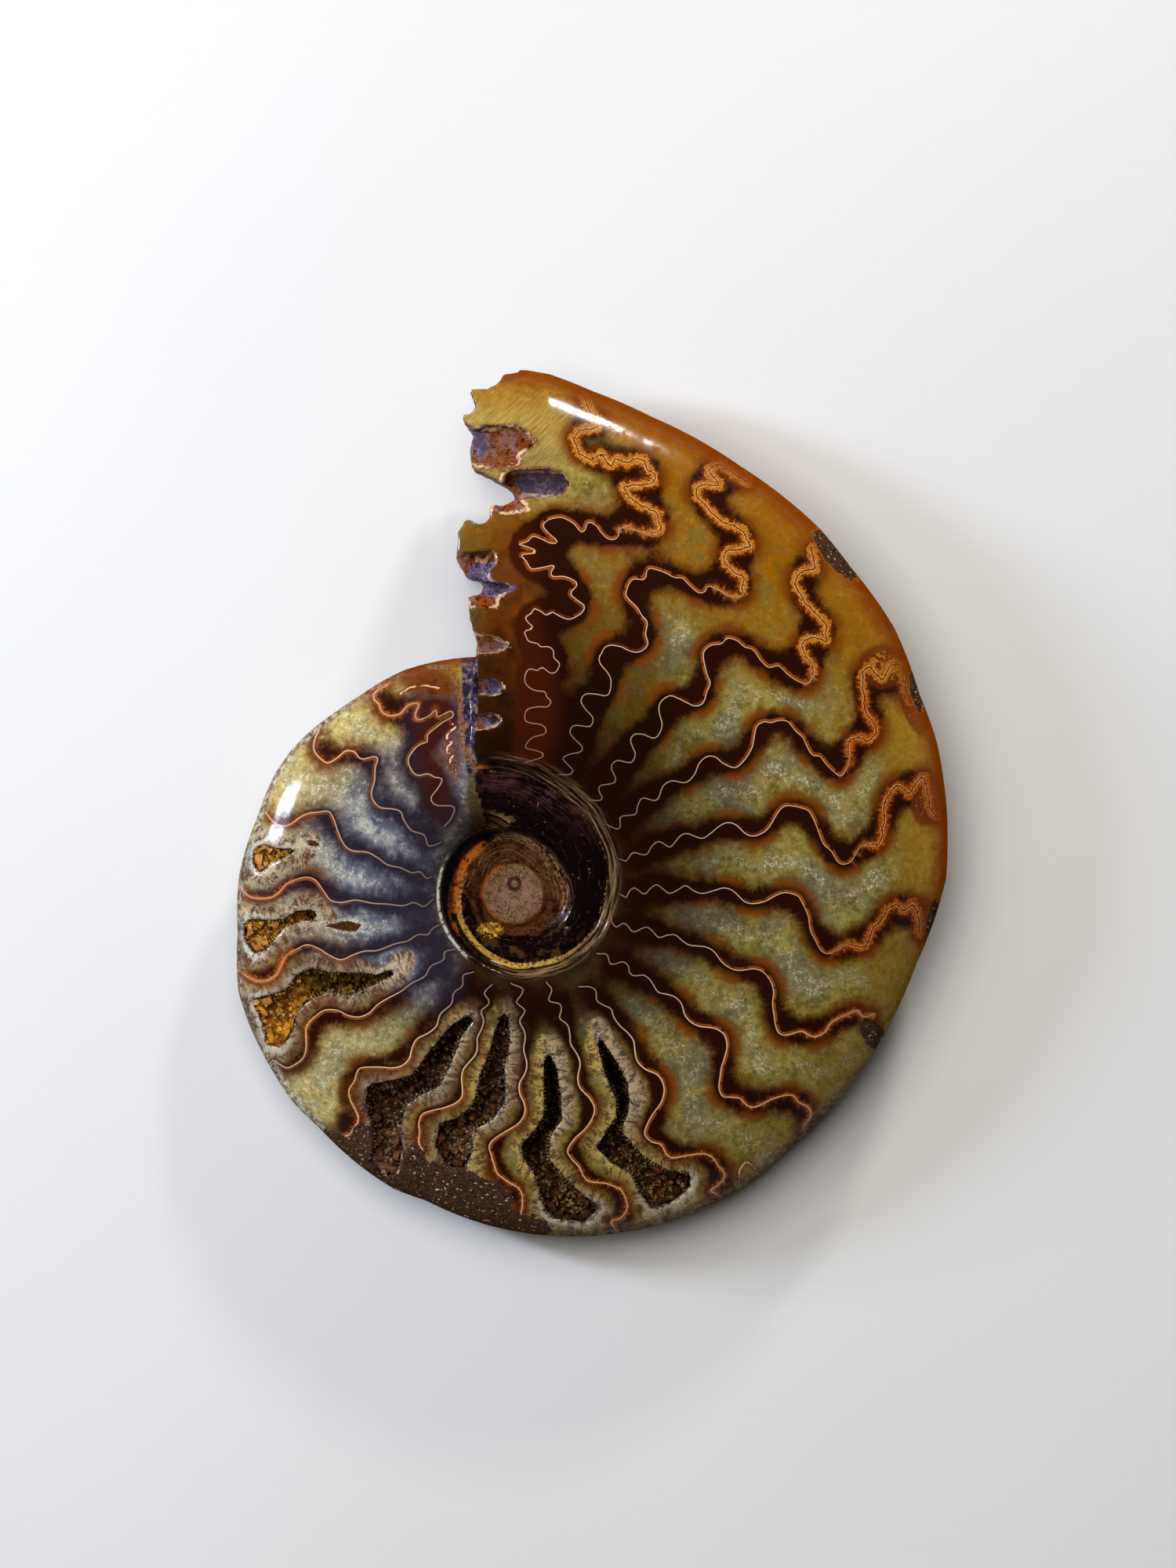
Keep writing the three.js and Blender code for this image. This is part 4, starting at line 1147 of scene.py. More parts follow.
        # Streaks of the painted bluish reflection in the umbilicus
        reflection_streaks = (streaks * 0.6 + fine * 0.4).rise(0.44, 0.54)
        spots = [s.length(s.vector("SUBTRACT", flat, spot)) for spot in self.reflection_spots]
        stained = (stain + fine * 0.4).rise(0.72, 0.84) * low_left.rise(-0.4, 0.2) * 0.6
        flecks = (specks * 0.6 + fine * 0.4).rise(0.59, 0.64) * (1 - stain).rise(0.4, 0.56)
        rusty = (radius + fine * 1.8).fall(4.8, 5.8) * (left | -up).rise(0.05, 0.3) * 0.8
        floor = s.coats(
            s.blend(self.burnt, self.umber, stain.rise(0.36, 0.56)),
            (self.limonite, rusty),
            (self.bronze, hoops.rise(0.52, 0.64) * up.rise(-0.3, 0.3) * 0.7),
            (self.plum, fine.fall(0.4, 0.52) * 0.7),
        )
        ridge = abs(ring - 0.2 + (fine - 0.5) * 1.2).fall(0.2, 1.1) * (-low_left).rise(-0.15, 0.3)
        crusty = left.rise(0.3, 0.7) * (seam + (fine - 0.5) * 0.8).fall(1.1, 1.6)
        wall = s.coats(
            self.plum,
            # Bronze streaks on the right of the umbilical wall: the wall's bronze colour, partly a painted
            # highlight
            (self.bronze, streaks.rise(0.44, 0.6) * left.fall(0.1, 0.5) * 0.85),
            (
                s.blend(self.limonite, self.burnt, fine.rise(0.5, 0.62)),
                crusty * (stain + fine * 0.3 + up * 0.3).rise(0.5, 0.66),
            ),
        )
        width = 0.17 + low_left.rise(0, 0.5) * 0.2
        gilding = (abs(seam + (fine - 0.5) * 0.5) / width).fall(0.5, 1.4)
        gilding = gilding * (streaks * 0.6 + fine * 0.8 + low_left * 0.08).rise(0.62, 0.78) * 0.9
        patch = s.length(s.vector("SUBTRACT", s.vector("MULTIPLY", flat, (0.62, 1, 0)), (-2.0, -5.0, 0)))
        colour = s.coats(
            self.plum,
            (self.mauve, sheen * 0.9),
            # Violet spots painted as a bluish reflection
            *((self.violet, (spot + (fine - 0.5) * 2).fall(0.4, 2) * reflection_streaks * 0.9) for spot in spots),
            (self.umber, stained),
            (self.crystal, flecks * 0.55),
            (floor, ring.fall(-0.25, 0.1)),
            (self.bronze, ridge * (hoops * 0.6 + fine * 0.4).rise(0.46, 0.6) * 0.9),
            (wall, seam.rise(0.05, 0.25)),
            (s.blend(self.bronze, self.gold, (low_left * 0.6 + (fine - 0.5) * 2).rise(0.1, 0.7)), gilding),
            (self.gold, (patch + (fine - 0.5) * 2).fall(0.7, 1.2) * specks.rise(0.4, 0.52)),
        )
        button = s.length(s.vector("SUBTRACT", flat, (0.1, 1.4, 0)))
        plug = s.coats(
            self.plug,
            (self.bronze, (stain + up * 0.4).rise(0.36, 0.66) * 0.8),
            (self.umber, (fine - 0.5 + stain * 0.2).rise(0.14, 0.24) * 0.8),
            (self.plum, abs(specks - 0.5).fall(0.006, 0.04) * stain.rise(0.4, 0.5) * 0.85),
            (self.plum, (abs(button - 0.75) + (fine - 0.5) * 0.5).fall(0.15, 0.4) * 0.8),
        )
        return s.blend(plug, colour, (radius + (fine - 0.5) * 0.8).rise(3.95, 4.25))

    def broken(self, s: Shader) -> bpy.types.NodeSocket:
        """The raw surfaces of the mouth and the cavities' edges, with nacre in the folds.

        Args:
            s: The material's shader.

        Returns:
            The colour.
        """
        violet, high_up = s["violet"], s.toward(0, 0, 0.1).rise(1.2, 1.8)
        soft, fine = s.noise(0.45, 4, 0.6), s.noise(1.6, 6, 0.7)
        glints = abs(soft + fine - 1).fall(0.01, 0.07) * violet.rise(0.1, 0.5) * high_up
        fold = s["nacre"] + (fine - 0.5) * 1.3
        lip = abs(fold + 0.15).fall(0.14, 0.4) * s.noise(0.5, 2).rise(0.42, 0.54) * high_up
        pit = s.blend(self.crystal_foot, self.soot, s.noise(0.9, 5).rise(0.4, 0.6))
        return s.coats(
            s.blend(self.orange, self.burnt, fine.rise(0.42, 0.62)),
            (self.rose, soft.rise(0.46, 0.58) * 0.8),
            (self.violet, (violet * high_up + (soft - 0.5) * 0.8).rise(0.3, 0.5) * 0.9),
            (self.lilac, glints * 0.6),
            (self.night, fine.fall(0.38, 0.5) * (0.4 + high_up * 0.45)),
            (s.blend(self.umber, self.burnt, soft.rise(0.4, 0.6)), (1 - high_up) * 0.7),
            (self.nacre_edge, lip * fine.rise(0.3, 0.5)),
            (pit, s["cavity"].fall(0.3, 0.6)),
        )

    def face(self, s: Shader) -> bpy.types.NodeSocket:
        """The whole polished face, out to its brown or frosted rim.

        Args:
            s: The material's shader.

        Returns:
            The colour.
        """
        outwards = s["rim"] + (s.noise(0.7, 4) - 0.5) * 0.05
        sunny = (s.toward(0.03, 0.1) + (s.noise(0.2, 2) - 0.5) * 2).rise(-1.4, 0.6)
        sunny = (1 - s["pale"]) * sunny
        frost = s.noise(1.2, 5, 0.7).rise(0.44, 0.6) * (0.3 + s["pale"] * 0.7)
        frosted = outwards.rise(0.95, 0.985) * (1 - sunny) * s.toward(-0.1, -0.1).rise(-1, 1) * 0.7
        colour = s.coats(
            self.septa(s, self.chambers(s)),
            (self.edge, outwards.rise(0.93, 0.985) * sunny * 0.9),
            (s.blend(self.crystal_foot, self.pearl, frost), frosted),
        )
        return self.sediment_patches(s, colour)

    def dressed(self, s: Shader) -> bpy.types.NodeSocket:
        """The face, the broken mouth and the umbilicus, each in its place.

        Args:
            s: The material's shader.

        Returns:
            The colour.
        """
        frayed, creased = s["nacre"] + (s.noise(1.6, 5, 0.7) - 0.5) * 1.1, s.noise(0.9, 5, 0.7)
        wall = s.blend(self.violet, self.bronze, creased.rise(0.54, 0.6))
        wall = s.blend(wall, self.night, creased.fall(0.44, 0.62))
        band = (s["shell_wall"] + (s.noise(1.5, 5, 0.7) - 0.5) * 0.8).fall(0.2, 0.5)
        tan = s.blend(self.bronze, self.rust, s.noise(2.5, 4, 0.7).rise(0.42, 0.6))
        above = s.reach(s.vector("SUBTRACT", s.here, (*UMBILICUS, 0)), (0, 0.1, 0))
        # A painted highlight: a pale thin line along the inner edge of the outermost whorl, in the blue
        # zone
        painted_edge_highlight = abs(s["outer"] - 0.004).fall(0.003, 0.011) * s["blue_and_sheen"].rise(0.2, 0.5)
        painted_edge_highlight = painted_edge_highlight * abs(above + 0.25).fall(0.55, 0.85)
        return s.coats(
            self.broken(s),
            (self.face(s), s["flank"] * frayed.rise(-0.1, 0.1)),
            (wall, s["wall"].fall(0, 0.3) * s.toward(0, 0, 0.1).rise(0.8, 1.4)),
            (tan, band * (1 - s["coil"]) * 0.9),
            (self.navel(s), s["outer"].fall(-0.02, 0.02) * s["coil"]),
            # The painted highlight along the whorl's inner edge
            (self.pearl, painted_edge_highlight * s.noise(0.9, 4, 0.7).rise(0.4, 0.55) * 0.8),
        )

    def material(self) -> bpy.types.Material:
        """The whole shell's material, with scratches near the mouth.

        Returns:
            The material.
        """
        s = Shader("polished_calcite")
        flank, rim = s["flank"], s["rim"]
        gloss = flank * s["cavity"].rise(-0.1, 0.2) * (1 - s["grit"])
        dull = 1 - flank
        lengthwise, crosswise = s.toward(0.71, 0.71) * 0.3, s.toward(0.71, -0.71) * 7
        scratch = s.noise(1, 3, 0.6, s.point(crosswise, lengthwise))
        scratched = s.toward(-0.03, 0.1).rise(4.4, 5.2)
        worn = scratched * rim.fall(0.86, 0.95) * flank * s["nacre"].rise(0, 0.5)
        worn = worn * (0.3 + scratch.rise(0.5, 0.62) * 0.4) * s["away"].rise(1, 3)
        colour = s.coats(
            self.dressed(s),
            (self.straw, worn),
            (self.honey, scratched * scratch.fall(0.36, 0.5) * 0.5),
        )
        relief = s.noise(2.4, 6, 0.7) * dull * 2.4 + s.noise(0.6, 3) * 0.3
        relief = relief + scratch * (0.04 + scratched * 0.3)
        polish = gloss * (1 - rim.rise(0.93, 0.99)) | dull * 0.35
        surface = {
            "Base Color": colour,
            "Roughness": 0.7,
            "Specular IOR Level": 0,
            "Coat Weight": polish * s.noise(0.8, 5, 0.7).rise(0.3, 0.56) * 0.8,
            "Coat Roughness": 0.14,
        }
        return s.finish(surface, relief, 0.1)


@dataclass(frozen=True)
class CavityCrystal:
    """Small glassy calcite crystals that line a cavity."""

    name: str
    deep: Pigment
    low: Pigment
    high: Pigment
    tip: Pigment
    # The next three fields set a painted shadow: its strength, the way towards the shaded side, and the
    # distances along that way, in centimetres, over which the colour shade comes in
    shade_strength: float
    inward: Triple = (0, 0.1, 0)
    shade_span: tuple[float, float] = (-4.9, -4.2)
    shade: Pigment = pigment(8, 3, 2)

    def material(self) -> bpy.types.Material:
        """Crystals that are darker at the foot, with painted shade in the cavity's depth and a painted
        shadow towards one side of it.
        """
        s = Shader(self.name)
        level, grain = s["level"], s.noise(1.1, 5, 0.65)
        patchy = s.noise(0.28, 3).rise(0.4, 0.56)
        # How far along the shaded way a place lies, for the painted shadow
        inner = s.toward(*self.inward) + (s.noise(0.3, 2) - 0.5) * 1.4
        colour = s.coats(
            self.deep,
            (self.low, grain.rise(0.34, 0.62) * (0.35 + patchy * 0.65)),
            # Partly painted shade: the higher crystals take high, near the colour beside the cavity, and
            # the deeper ones keep the darker deep colour
            (self.high, (level + (grain - 0.5) * 0.7).rise(0.62, 1)),
            (self.tip, s["tip"].rise(0.4, 1) * s.noise(2.5, 2).rise(0.42, 0.66) * 0.7),
            # Painted shadow over the side of the cavity along the shaded way, less on the higher crystals
            (self.shade, inner.rise(*self.shade_span) * self.shade_strength * (1 - level * 0.5)),
        )
        surface = {
            "Base Color": colour,
            "Roughness": 0.3 + s.noise(3, 3) * 0.3,
            "Specular IOR Level": 0.3,
        }
        return s.finish(surface, s.noise(3.5, 5), 0.08)


# Each finish: deep, low, high and tip colours, then its painted shadow's strength, and for the golden one
# its way and span
GOLDEN = CavityCrystal(
    "golden_calcite", pigment(104, 56, 2), pigment(186, 122, 12), pigment(132, 98, 50),
    pigment(206, 170, 96), 0.8, (0.1, 0, 0), (-4.1, -3.6),
)
BROWN = CavityCrystal(
    "brown_calcite", pigment(30, 12, 2), pigment(94, 48, 10), pigment(104, 84, 48),
    pigment(172, 148, 92), 0.9,
)
DUSTY = CavityCrystal(
    "dusty_calcite", pigment(30, 12, 6), pigment(118, 70, 36), pigment(98, 80, 60),
    pigment(168, 144, 108), 0.5,
)


@dataclass
class Crowding:
    """How closely the septa fold around a place, counted softly on an even grid."""

    lines: list[Line]
    spread: float = 1.8
    cell: float = 0.25
    reach: tuple[float, float] = (60, 70)
    counted: np.ndarray = field(init=False)

    def __post_init__(self) -> None:
        """Counts the septa's length in each cell of the grid and spreads it out."""
        columns, rows = (round(2 * reach / self.cell) for reach in self.reach)
        length = np.zeros((rows, columns))
        for line in self.lines:
            column, row = ((line.points + self.reach) / self.cell).astype(int).T
            np.add.at(length, (row, column), np.gradient(line.along))
        sigma = self.spread / self.cell
        across, up = np.fft.rfftfreq(columns)[None, :], np.fft.fftfreq(rows)[:, None]
        bell = 2 * np.pi * sigma**2 * np.exp(-2 * (np.pi * sigma) ** 2 * (across**2 + up**2))
        spread = np.fft.irfft2(np.fft.rfft2(length) * bell, s=length.shape)
        self.counted = spread / (math.sqrt(2 * math.pi) * self.spread)

    def at(self, xy: np.ndarray) -> np.ndarray:
        """The crowding at places: 1 on a straight septum, and more inside its folds.

        Args:
            xy: Places on the face, in millimetres.

        Returns:
            The crowding at each.
        """
        spot = (xy + self.reach) / self.cell - 0.5
        low = np.floor(spot).astype(int)
        share = spot - low
        total = np.zeros(len(xy))
        for right in (0, 1):
            for above in (0, 1):
                weight = np.abs(1 - right - share[:, 0]) * np.abs(1 - above - share[:, 1])
                total += weight * self.counted[low[:, 1] + above, low[:, 0] + right]
        return total


@dataclass
class Shell:
    """The fossil itself, as a fine front half and a coarser back half."""

    coil: Coil
    septa: list[Line]
    cavities: dict[str, Line]
    seam: Line
    ring: Line
    front_grain: float = 0.405
    back_grain: float = 0.62
    rough_waves: tuple[tuple[float, float], ...] = ((0.9, 0.2), (2.6, 0.1))
    rough_above: float = 0.3
    septum_shift: float = 37
    furthest_septum: float = 20
    half_septum: float = 2
    crowding: Crowding = field(init=False)

    def __post_init__(self) -> None:
        """Counts how the septa crowd."""
        self.crowding = Crowding(self.septa)

    def skin(self, grain: float) -> bmesh.types.BMesh:
        """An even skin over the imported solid.

        Args:
            grain: The size of its faces, in millimetres.

        Returns:
            The skin.
        """
        piece = piece_of("solid", merged("ammonite"))
        remesh = piece.modifiers.new("skin", "REMESH")
        remesh.mode = "VOXEL"
        remesh.voxel_size = grain * MM
        evaluated = piece.evaluated_get(bpy.context.evaluated_depsgraph_get())
        skin = bmesh.new()
        skin.from_mesh(evaluated.to_mesh())
        evaluated.to_mesh_clear()
        mesh = piece.data
        bpy.data.objects.remove(piece)
        bpy.data.meshes.remove(mesh)
        return skin

    def roughened(self, points: np.ndarray, sure: np.ndarray) -> np.ndarray:
        """Moves points off the polished flanks a little, as broken and grown surfaces are.

        Args:
            points: Places in the part's frame, in millimetres.
            sure: How surely each is on a flank.

        Returns:
            The places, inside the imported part's box.
        """
        low, high = (np.array(corner) / MM for corner in CAD_BOX)
        for i in np.flatnonzero((sure < 0.5) & (points[:, 2] > self.rough_above)):
            at = Vector(points[i])
            shifts = (noise.noise_vector(at * finer) * height for finer, height in self.rough_waves)
            points[i] += np.array(sum(shifts, Vector()))
        return np.clip(points, low, high)

    def half(self, front: bool) -> bpy.types.Object:
        """One half of the shell, cut at the coiling plane and closed there.

        Args:
            front: Whether it is the half with the face.

        Returns:
            The piece.
        """
        skin = self.skin(self.front_grain if front else self.back_grain)
        points = np.array([vert.co for vert in skin.verts]) / MM
        settled = self.coil.settle(points)
        points = self.roughened(settled["points"], settled["sure"])
        for vert, point in zip(skin.verts, points):
            vert.co = Vector(point * MM)
        slope = self.coil.median_slope
        bmesh.ops.bisect_plane(
            skin,
            geom=[*skin.verts, *skin.edges, *skin.faces],
            dist=1e-8,
            plane_co=Vector((*UMBILICUS, self.coil.median_height)) * MM,
            plane_no=Vector((-slope[0], -slope[1], 1)),
            clear_inner=front,
            clear_outer=not front,
        )
        rim = [edge for edge in skin.edges if edge.is_boundary]
        bmesh.ops.holes_fill(skin, edges=rim, sides=0)
        for face in skin.faces:
            face.smooth = True
        for edge in rim:
            edge.smooth = False
        piece = piece_of("ammonite_front" if front else "ammonite_back", skin)
        self.mark(piece.data)
        return piece

    def mark(self, mesh: bpy.types.Mesh) -> None:
        """Writes on each corner how far it lies from septa, cavities and edges, for the material.

        Args:
            mesh: The half's mesh.
        """
        points = np.zeros(len(mesh.vertices) * 3)
        mesh.vertices.foreach_get("co", points)
        points = points.reshape(-1, 3) / MM
        xy = points[:, :2]
        settled = self.coil.settle(points)
        measured = [line.distances(xy) for line in self.septa]
        signed = np.array([distances for distances, _ in measured])
        ranked = np.sort(np.abs(signed), axis=0)
        chosen = (np.abs(signed).argmin(0), np.arange(len(xy)))
        septum = signed[chosen]
        share = ranked[0] / (ranked[0] + ranked[1])
        beside = Line((*LEFT_OF_MOUTH, *BROKEN_EDGE), closed=True).encloses(xy)
        seam, around = self.seam.distances(xy, UMBILICUS_REACH)
        ring, _ = self.ring.distances(xy, UMBILICUS_REACH)
        marks = {
            "septum": np.clip(septum, -self.half_septum, self.half_septum),
            "away": np.minimum(ranked[0], self.furthest_septum),
            "across": np.where(septum < 0, share, 1 - share),
            "along": np.array([along for _, along in measured])[chosen] + chosen[0] * self.septum_shift,
            "crowd": self.crowding.at(xy),
            "rim": settled["own"],
            "outer": settled["outer"],
            "coil": 1.0 - beside,
            "cavity": np.clip(inside(self.cavities.values(), xy), -MARK_LIMIT, MARK_LIMIT),
            "flank": np.where(points[:, 2] < GROUND, 1, settled["sure"]),
            "nacre": np.minimum(inside(closed(NACRE), xy), MARK_LIMIT),
            "hairline": nearest(HAIRLINES, xy, HAIRLINE_REACH),
            "pit": inside(closed(PITS), xy),
            "wall": inside(closed((MOUTH_WALL,)), xy),
            "shell_wall": np.minimum(nearest((SHELL_WALL,), xy, WALL_REACH), MARK_LIMIT),
            "seam": np.clip(seam, -MARK_LIMIT, MARK_LIMIT),
            "ring": np.clip(ring, -MARK_LIMIT, MARK_LIMIT),
            "round": around,
        }
        for zone, patches in ZONES.items():
            marks[zone.value] = 1 - np.prod([1 - Patch(*patch).weight(xy) for patch in patches], axis=0)
        for name, values in marks.items():
            layer = mesh.attributes.new(name, "FLOAT", "POINT")
            layer.data.foreach_set("value", np.asarray(values, np.float32))

    def build(self) -> None:
        """Makes both halves and dresses them."""
        finish = PolishedCalcite().material()
        for front in (True, False):
            piece = self.half(front)
            piece.data.materials.append(finish)
            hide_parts("ammonite")
            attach(piece, "root")
            log.info("%s: %d faces", piece.name, len(piece.data.polygons))


@dataclass
class CrystalLining:
    """The crystals that line one cavity, all of them under the face."""

    name: str
    coil: Coil
    outline: Line
    depth: float
    finish: CavityCrystal
    finish_slot: str
    seed: int
    slope: float = 0.9
    spacing: float = 0.45
    level_spacing: float = 0.7
    radius: float = 0.4
    length: float = 0.8
    lengths: tuple[float, float] = (0.7, 1.4)
    sides: tuple[int, ...] = (4, 5, 6)
    tips: tuple[float, ...] = (0.05, 0.4, 0.7)
    spin: float = 6
    lean: float = 0.6
    upward: float = 0.6
    gap_chance: float = 0.3
    scatter: tuple[float, float] = (-0.5, 0.4)
    shortest_reach: float = 0.1
    sunk: float = 0.05
    wall_sizes: tuple[float, float] = (0.35, 1.15)
    floor_sizes: tuple[float, float] = (0.7, 1.9)
    floor_height: float = 1.2
    floor_crystals: int = 80
    foot: float = 0.8
    lip: float = 0.35
    margin: float = 0.4

    def crystal(
        self,
        lining: bmesh.types.BMesh,
        foot: Vector,
        way: Vector,
        size: float,
        level: float,
        chance: random.Random,
    ) -> None:
        """Adds one crystal.

        Args:
            lining: The mesh that it is added to.
            foot: The middle of its foot, in millimetres.
            way: The way that it grows.
            size: Its size, next to the usual one.
            level: How high it sits in the cavity, from 0 to 1.
            chance: Where its own shape comes from.
        """
        lean = Vector([chance.uniform(-self.lean, self.lean) for _ in range(3)])
        turn = (way + lean).to_track_quat("Z", "Y").to_matrix().to_4x4()
        spin = Matrix.Rotation(chance.random() * self.spin, 4, "Z")
        radius = self.radius * size * MM
        made = bmesh.ops.create_cone(
            lining,
            cap_ends=True,
            segments=chance.choice(self.sides),
            radius1=radius,
            radius2=radius * chance.choice(self.tips),
            depth=self.length * size * chance.uniform(*self.lengths) * MM,
            matrix=Matrix.Translation(foot * MM) @ turn @ spin,
        )
        tips, levels = lining.verts.layers.float["tip"], lining.verts.layers.float["level"]
        axis = turn.to_3x3() @ Vector((0, 0, 1))
        for vert in made["verts"]:
            vert[tips] = 1.0 if (vert.co - foot * MM).dot(axis) > 0 else 0.0
            vert[levels] = level

    def walls(self, lining: bmesh.types.BMesh, low: float, top: float, chance: random.Random) -> None:
        """Lines the walls, with crystals that are larger and reach further in towards the floor.

        Args:
            lining: The mesh that they are added to.
            low: The height of the walls' foot, in millimetres.
            top: The height of their highest crystals where the face allows it.
            chance: Where the crystals' places and sizes come from.
        """
        step = round(self.spacing / LINE_SPACING)
        points = self.outline.points
        ahead = np.roll(points, -step + 1, 0) - np.roll(points, step - 1, 0)
        turn = 1 if self.anticlockwise() else -1
        inward = turn * np.column_stack([-ahead[:, 1], ahead[:, 0]])
        inward /= np.maximum(1e-9, np.linalg.norm(inward, axis=1))[:, None]
        tops = np.minimum(top, self.coil.face(points) - self.margin)
        for (x, y), (dx, dy), high in zip(points[::step], inward[::step], tops[::step]):
            levels = max(1, round((high - low) / self.level_spacing))
            for number in range(levels + 1 if high > low else 0):
                if chance.random() < self.gap_chance:
                    continue
                level = min(1, (number + chance.uniform(*self.scatter)) / levels)
                deep = 1 - level
                reach = deep * chance.uniform(self.shortest_reach, self.slope) - self.sunk
                foot = Vector((x + dx * reach, y + dy * reach, low + (high - low) * level))
                size = chance.uniform(*self.wall_sizes) * (0.5 + (0.6 + 0.6 * self.slope) * deep)
                self.crystal(lining, foot, Vector((dx, dy, self.upward)), size, level, chance)

    def build(self) -> None:
        """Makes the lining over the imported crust's own floor and walls."""
        chance = random.Random(self.seed)
        node = "crystals_" + self.name
        low, high = (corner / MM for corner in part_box(node))
        lining = merged(node)
        lining.verts.layers.float.new("tip")
        lining.verts.layers.float.new("level")
        self.walls(lining, low[2] + self.foot, high[2] - self.lip, chance)
        for _ in range(round(self.floor_crystals * self.depth)):
            spot = np.array([[chance.uniform(low[0], high[0]), chance.uniform(low[1], high[1])]])
            size = chance.uniform(*self.floor_sizes)
            half_length = size * 0.6
            height = min(low[2] + self.floor_height, self.coil.face(spot)[0] - self.margin - half_length)
            if height > low[2] and self.outline.encloses(spot)[0]:
                self.crystal(lining, Vector((*spot[0], height)), Vector((0, 0, 1)), size, 0, chance)
        piece = piece_of(node + "_lining", lining)
        piece.data.materials.append(self.finish.material())
        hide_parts(node)
        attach(piece, "root")
        log.info("%s: %d faces", piece.name, len(piece.data.polygons))

    def anticlockwise(self) -> bool:
        """Whether the outline runs anticlockwise.

        Returns:
            True if it does.
        """
        corners = place(self.outline.corners)
        after = np.roll(corners, -1, axis=0)
        return bool((corners[:, 0] * after[:, 1] - after[:, 0] * corners[:, 1]).sum() > 0)


@dataclass(frozen=True)
class Lamp:
    """A soft rectangular light that faces the fossil, in metres and watts."""

    name: str
    spot: Triple
    size: tuple[float, float]
    power: float
    colour: Triple
    mirrored: bool = True

    def hang(self) -> None:
        """Hangs the light over the fossil."""
        light = bpy.data.lights.new(self.name, "AREA")
        light.shape = "RECTANGLE"
        light.size, light.size_y = self.size
        light.energy = self.power
        light.color = self.colour
        holder = linked(bpy.data.objects.new(self.name, light))
        holder.location = self.spot
        holder.rotation_euler = (-Vector(self.spot)).to_track_quat("-Z", "Y").to_euler()
        holder.visible_glossy = self.mirrored


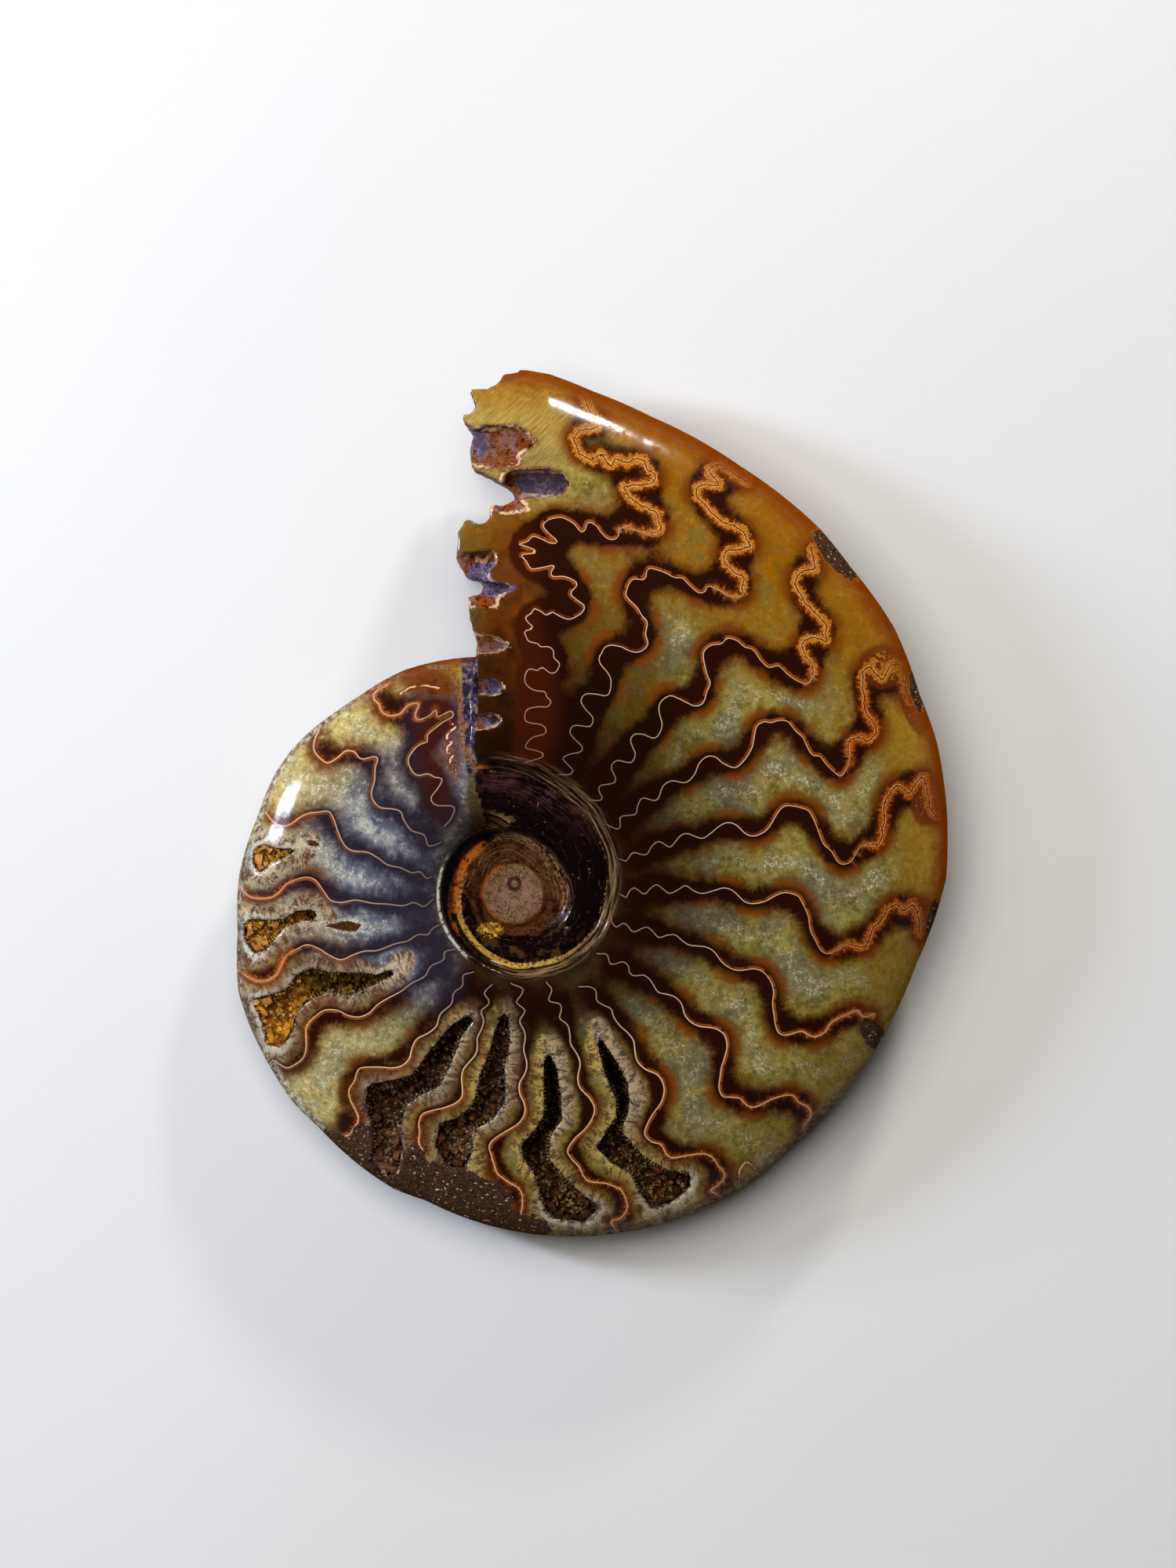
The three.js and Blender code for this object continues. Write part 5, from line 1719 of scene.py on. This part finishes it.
@dataclass
class Studio:
    """The floor, the lights and the camera over the fossil."""

    frame_px: tuple[int, int] = (1500, 2000)
    lens: float = 240
    sensor: float = 36
    focus_height: float = 14
    floor_size: float = 1.6
    floor_tones: tuple[Pigment, Pigment] = (pigment(204, 202, 200), pigment(210, 208, 206))
    horizon: Pigment = pigment(196, 198, 202)
    overhead: Pigment = pigment(30, 30, 32)
    room_strength: float = 0.32
    lamps: tuple[Lamp, ...] = (
        Lamp("window", (-0.5, 0.15, 0.25), (0.055, 0.17), 3.2, (0.66, 0.78, 1)),
        Lamp("ceiling", (0.19, 0.56, 0.215), (0.07, 0.05), 2.2, (1, 0.98, 0.94)),
        Lamp("sky", (-0.2, 0.25, 0.75), (0.7, 0.7), 7.2, (1, 0.98, 0.94), mirrored=False),
    )

    def floor(self) -> None:
        """A plain pale floor."""
        sheet = bmesh.new()
        bmesh.ops.create_grid(sheet, x_segments=2, y_segments=2, size=self.floor_size)
        floor = piece_of("floor", sheet)
        s = Shader("pale_floor")
        tone = s.blend(*self.floor_tones, s.noise(0.01, 2))
        surface = {"Base Color": tone, "Roughness": 0.75}
        floor.data.materials.append(s.finish(surface, s.noise(0.5, 2), 0.02))
        floor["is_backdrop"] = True

    def camera(self) -> None:
        """A camera straight above, with the fossil as large and as high in its frame as in the picture."""
        lens = bpy.data.cameras.new("camera")
        lens.sensor_fit = "VERTICAL"
        lens.sensor_height = self.sensor
        lens.lens = self.lens
        view = linked(bpy.data.objects.new("camera", lens))
        centre = place((self.frame_px[0] / 2, self.frame_px[1] / 2))[0]
        distance = self.frame_px[1] * MM_PER_PX * self.lens / self.sensor
        view.location = Vector((*centre, self.focus_height + distance)) * MM
        bpy.context.scene.camera = view

    def surroundings(self) -> None:
        """A quiet room, pale near the horizon and dark overhead."""
        world = bpy.data.worlds.new("room")
        world.use_nodes = True
        nodes, links = world.node_tree.nodes, world.node_tree.links
        looked = nodes.new("ShaderNodeTexCoord")
        split = nodes.new("ShaderNodeSeparateXYZ")
        links.new(looked.outputs["Generated"], split.inputs[0])
        ramp = nodes.new("ShaderNodeValToRGB")
        for stop, position, tone in zip(
            ramp.color_ramp.elements, (0.05, 0.75), (self.horizon, self.overhead)
        ):
            stop.position, stop.color = position, tone
        links.new(split.outputs["Z"], ramp.inputs[0])
        backdrop = nodes["Background"]
        links.new(ramp.outputs[0], backdrop.inputs["Color"])
        backdrop.inputs["Strength"].default_value = self.room_strength
        bpy.context.scene.world = world

    def build(self) -> None:
        """Sets the whole studio."""
        self.floor()
        for lamp in self.lamps:
            lamp.hang()
        self.camera()
        self.surroundings()
        bpy.context.scene.view_settings.view_transform = "Standard"


def main() -> None:
    """Builds the fossil and its studio in order."""
    logging.basicConfig(level=logging.INFO, format="%(name)s: %(message)s")
    septa = [Line(corners) for corners in SEPTA]
    cavities = {name: Line(outline, closed=True) for name, (_, outline) in CAVITIES.items()}
    coil = Coil()
    Shell(coil, septa, cavities, Line(SEAM), Line(RING)).build()
    for seed, (name, (depth, _)) in enumerate(CAVITIES.items(), start=5):
        dusty = name in ("bottom_left", "bottom_middle")
        finish = GOLDEN if name.startswith("left") else DUSTY if dusty else BROWN
        slot = "golden_calcite" if finish is GOLDEN else "brown_calcite"
        slope = 0.9 if finish is BROWN else 2
        CrystalLining(name, coil, cavities[name], depth, finish, slot, seed, slope).build()
    Studio().build()


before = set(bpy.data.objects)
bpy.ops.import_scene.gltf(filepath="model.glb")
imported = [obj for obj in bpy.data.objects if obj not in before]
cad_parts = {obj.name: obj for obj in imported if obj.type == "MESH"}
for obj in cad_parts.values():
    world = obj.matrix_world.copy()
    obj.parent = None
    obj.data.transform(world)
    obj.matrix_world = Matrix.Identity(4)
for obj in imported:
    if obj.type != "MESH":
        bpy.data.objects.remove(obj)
CAD_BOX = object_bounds()

if __name__ == "__main__":
    main()
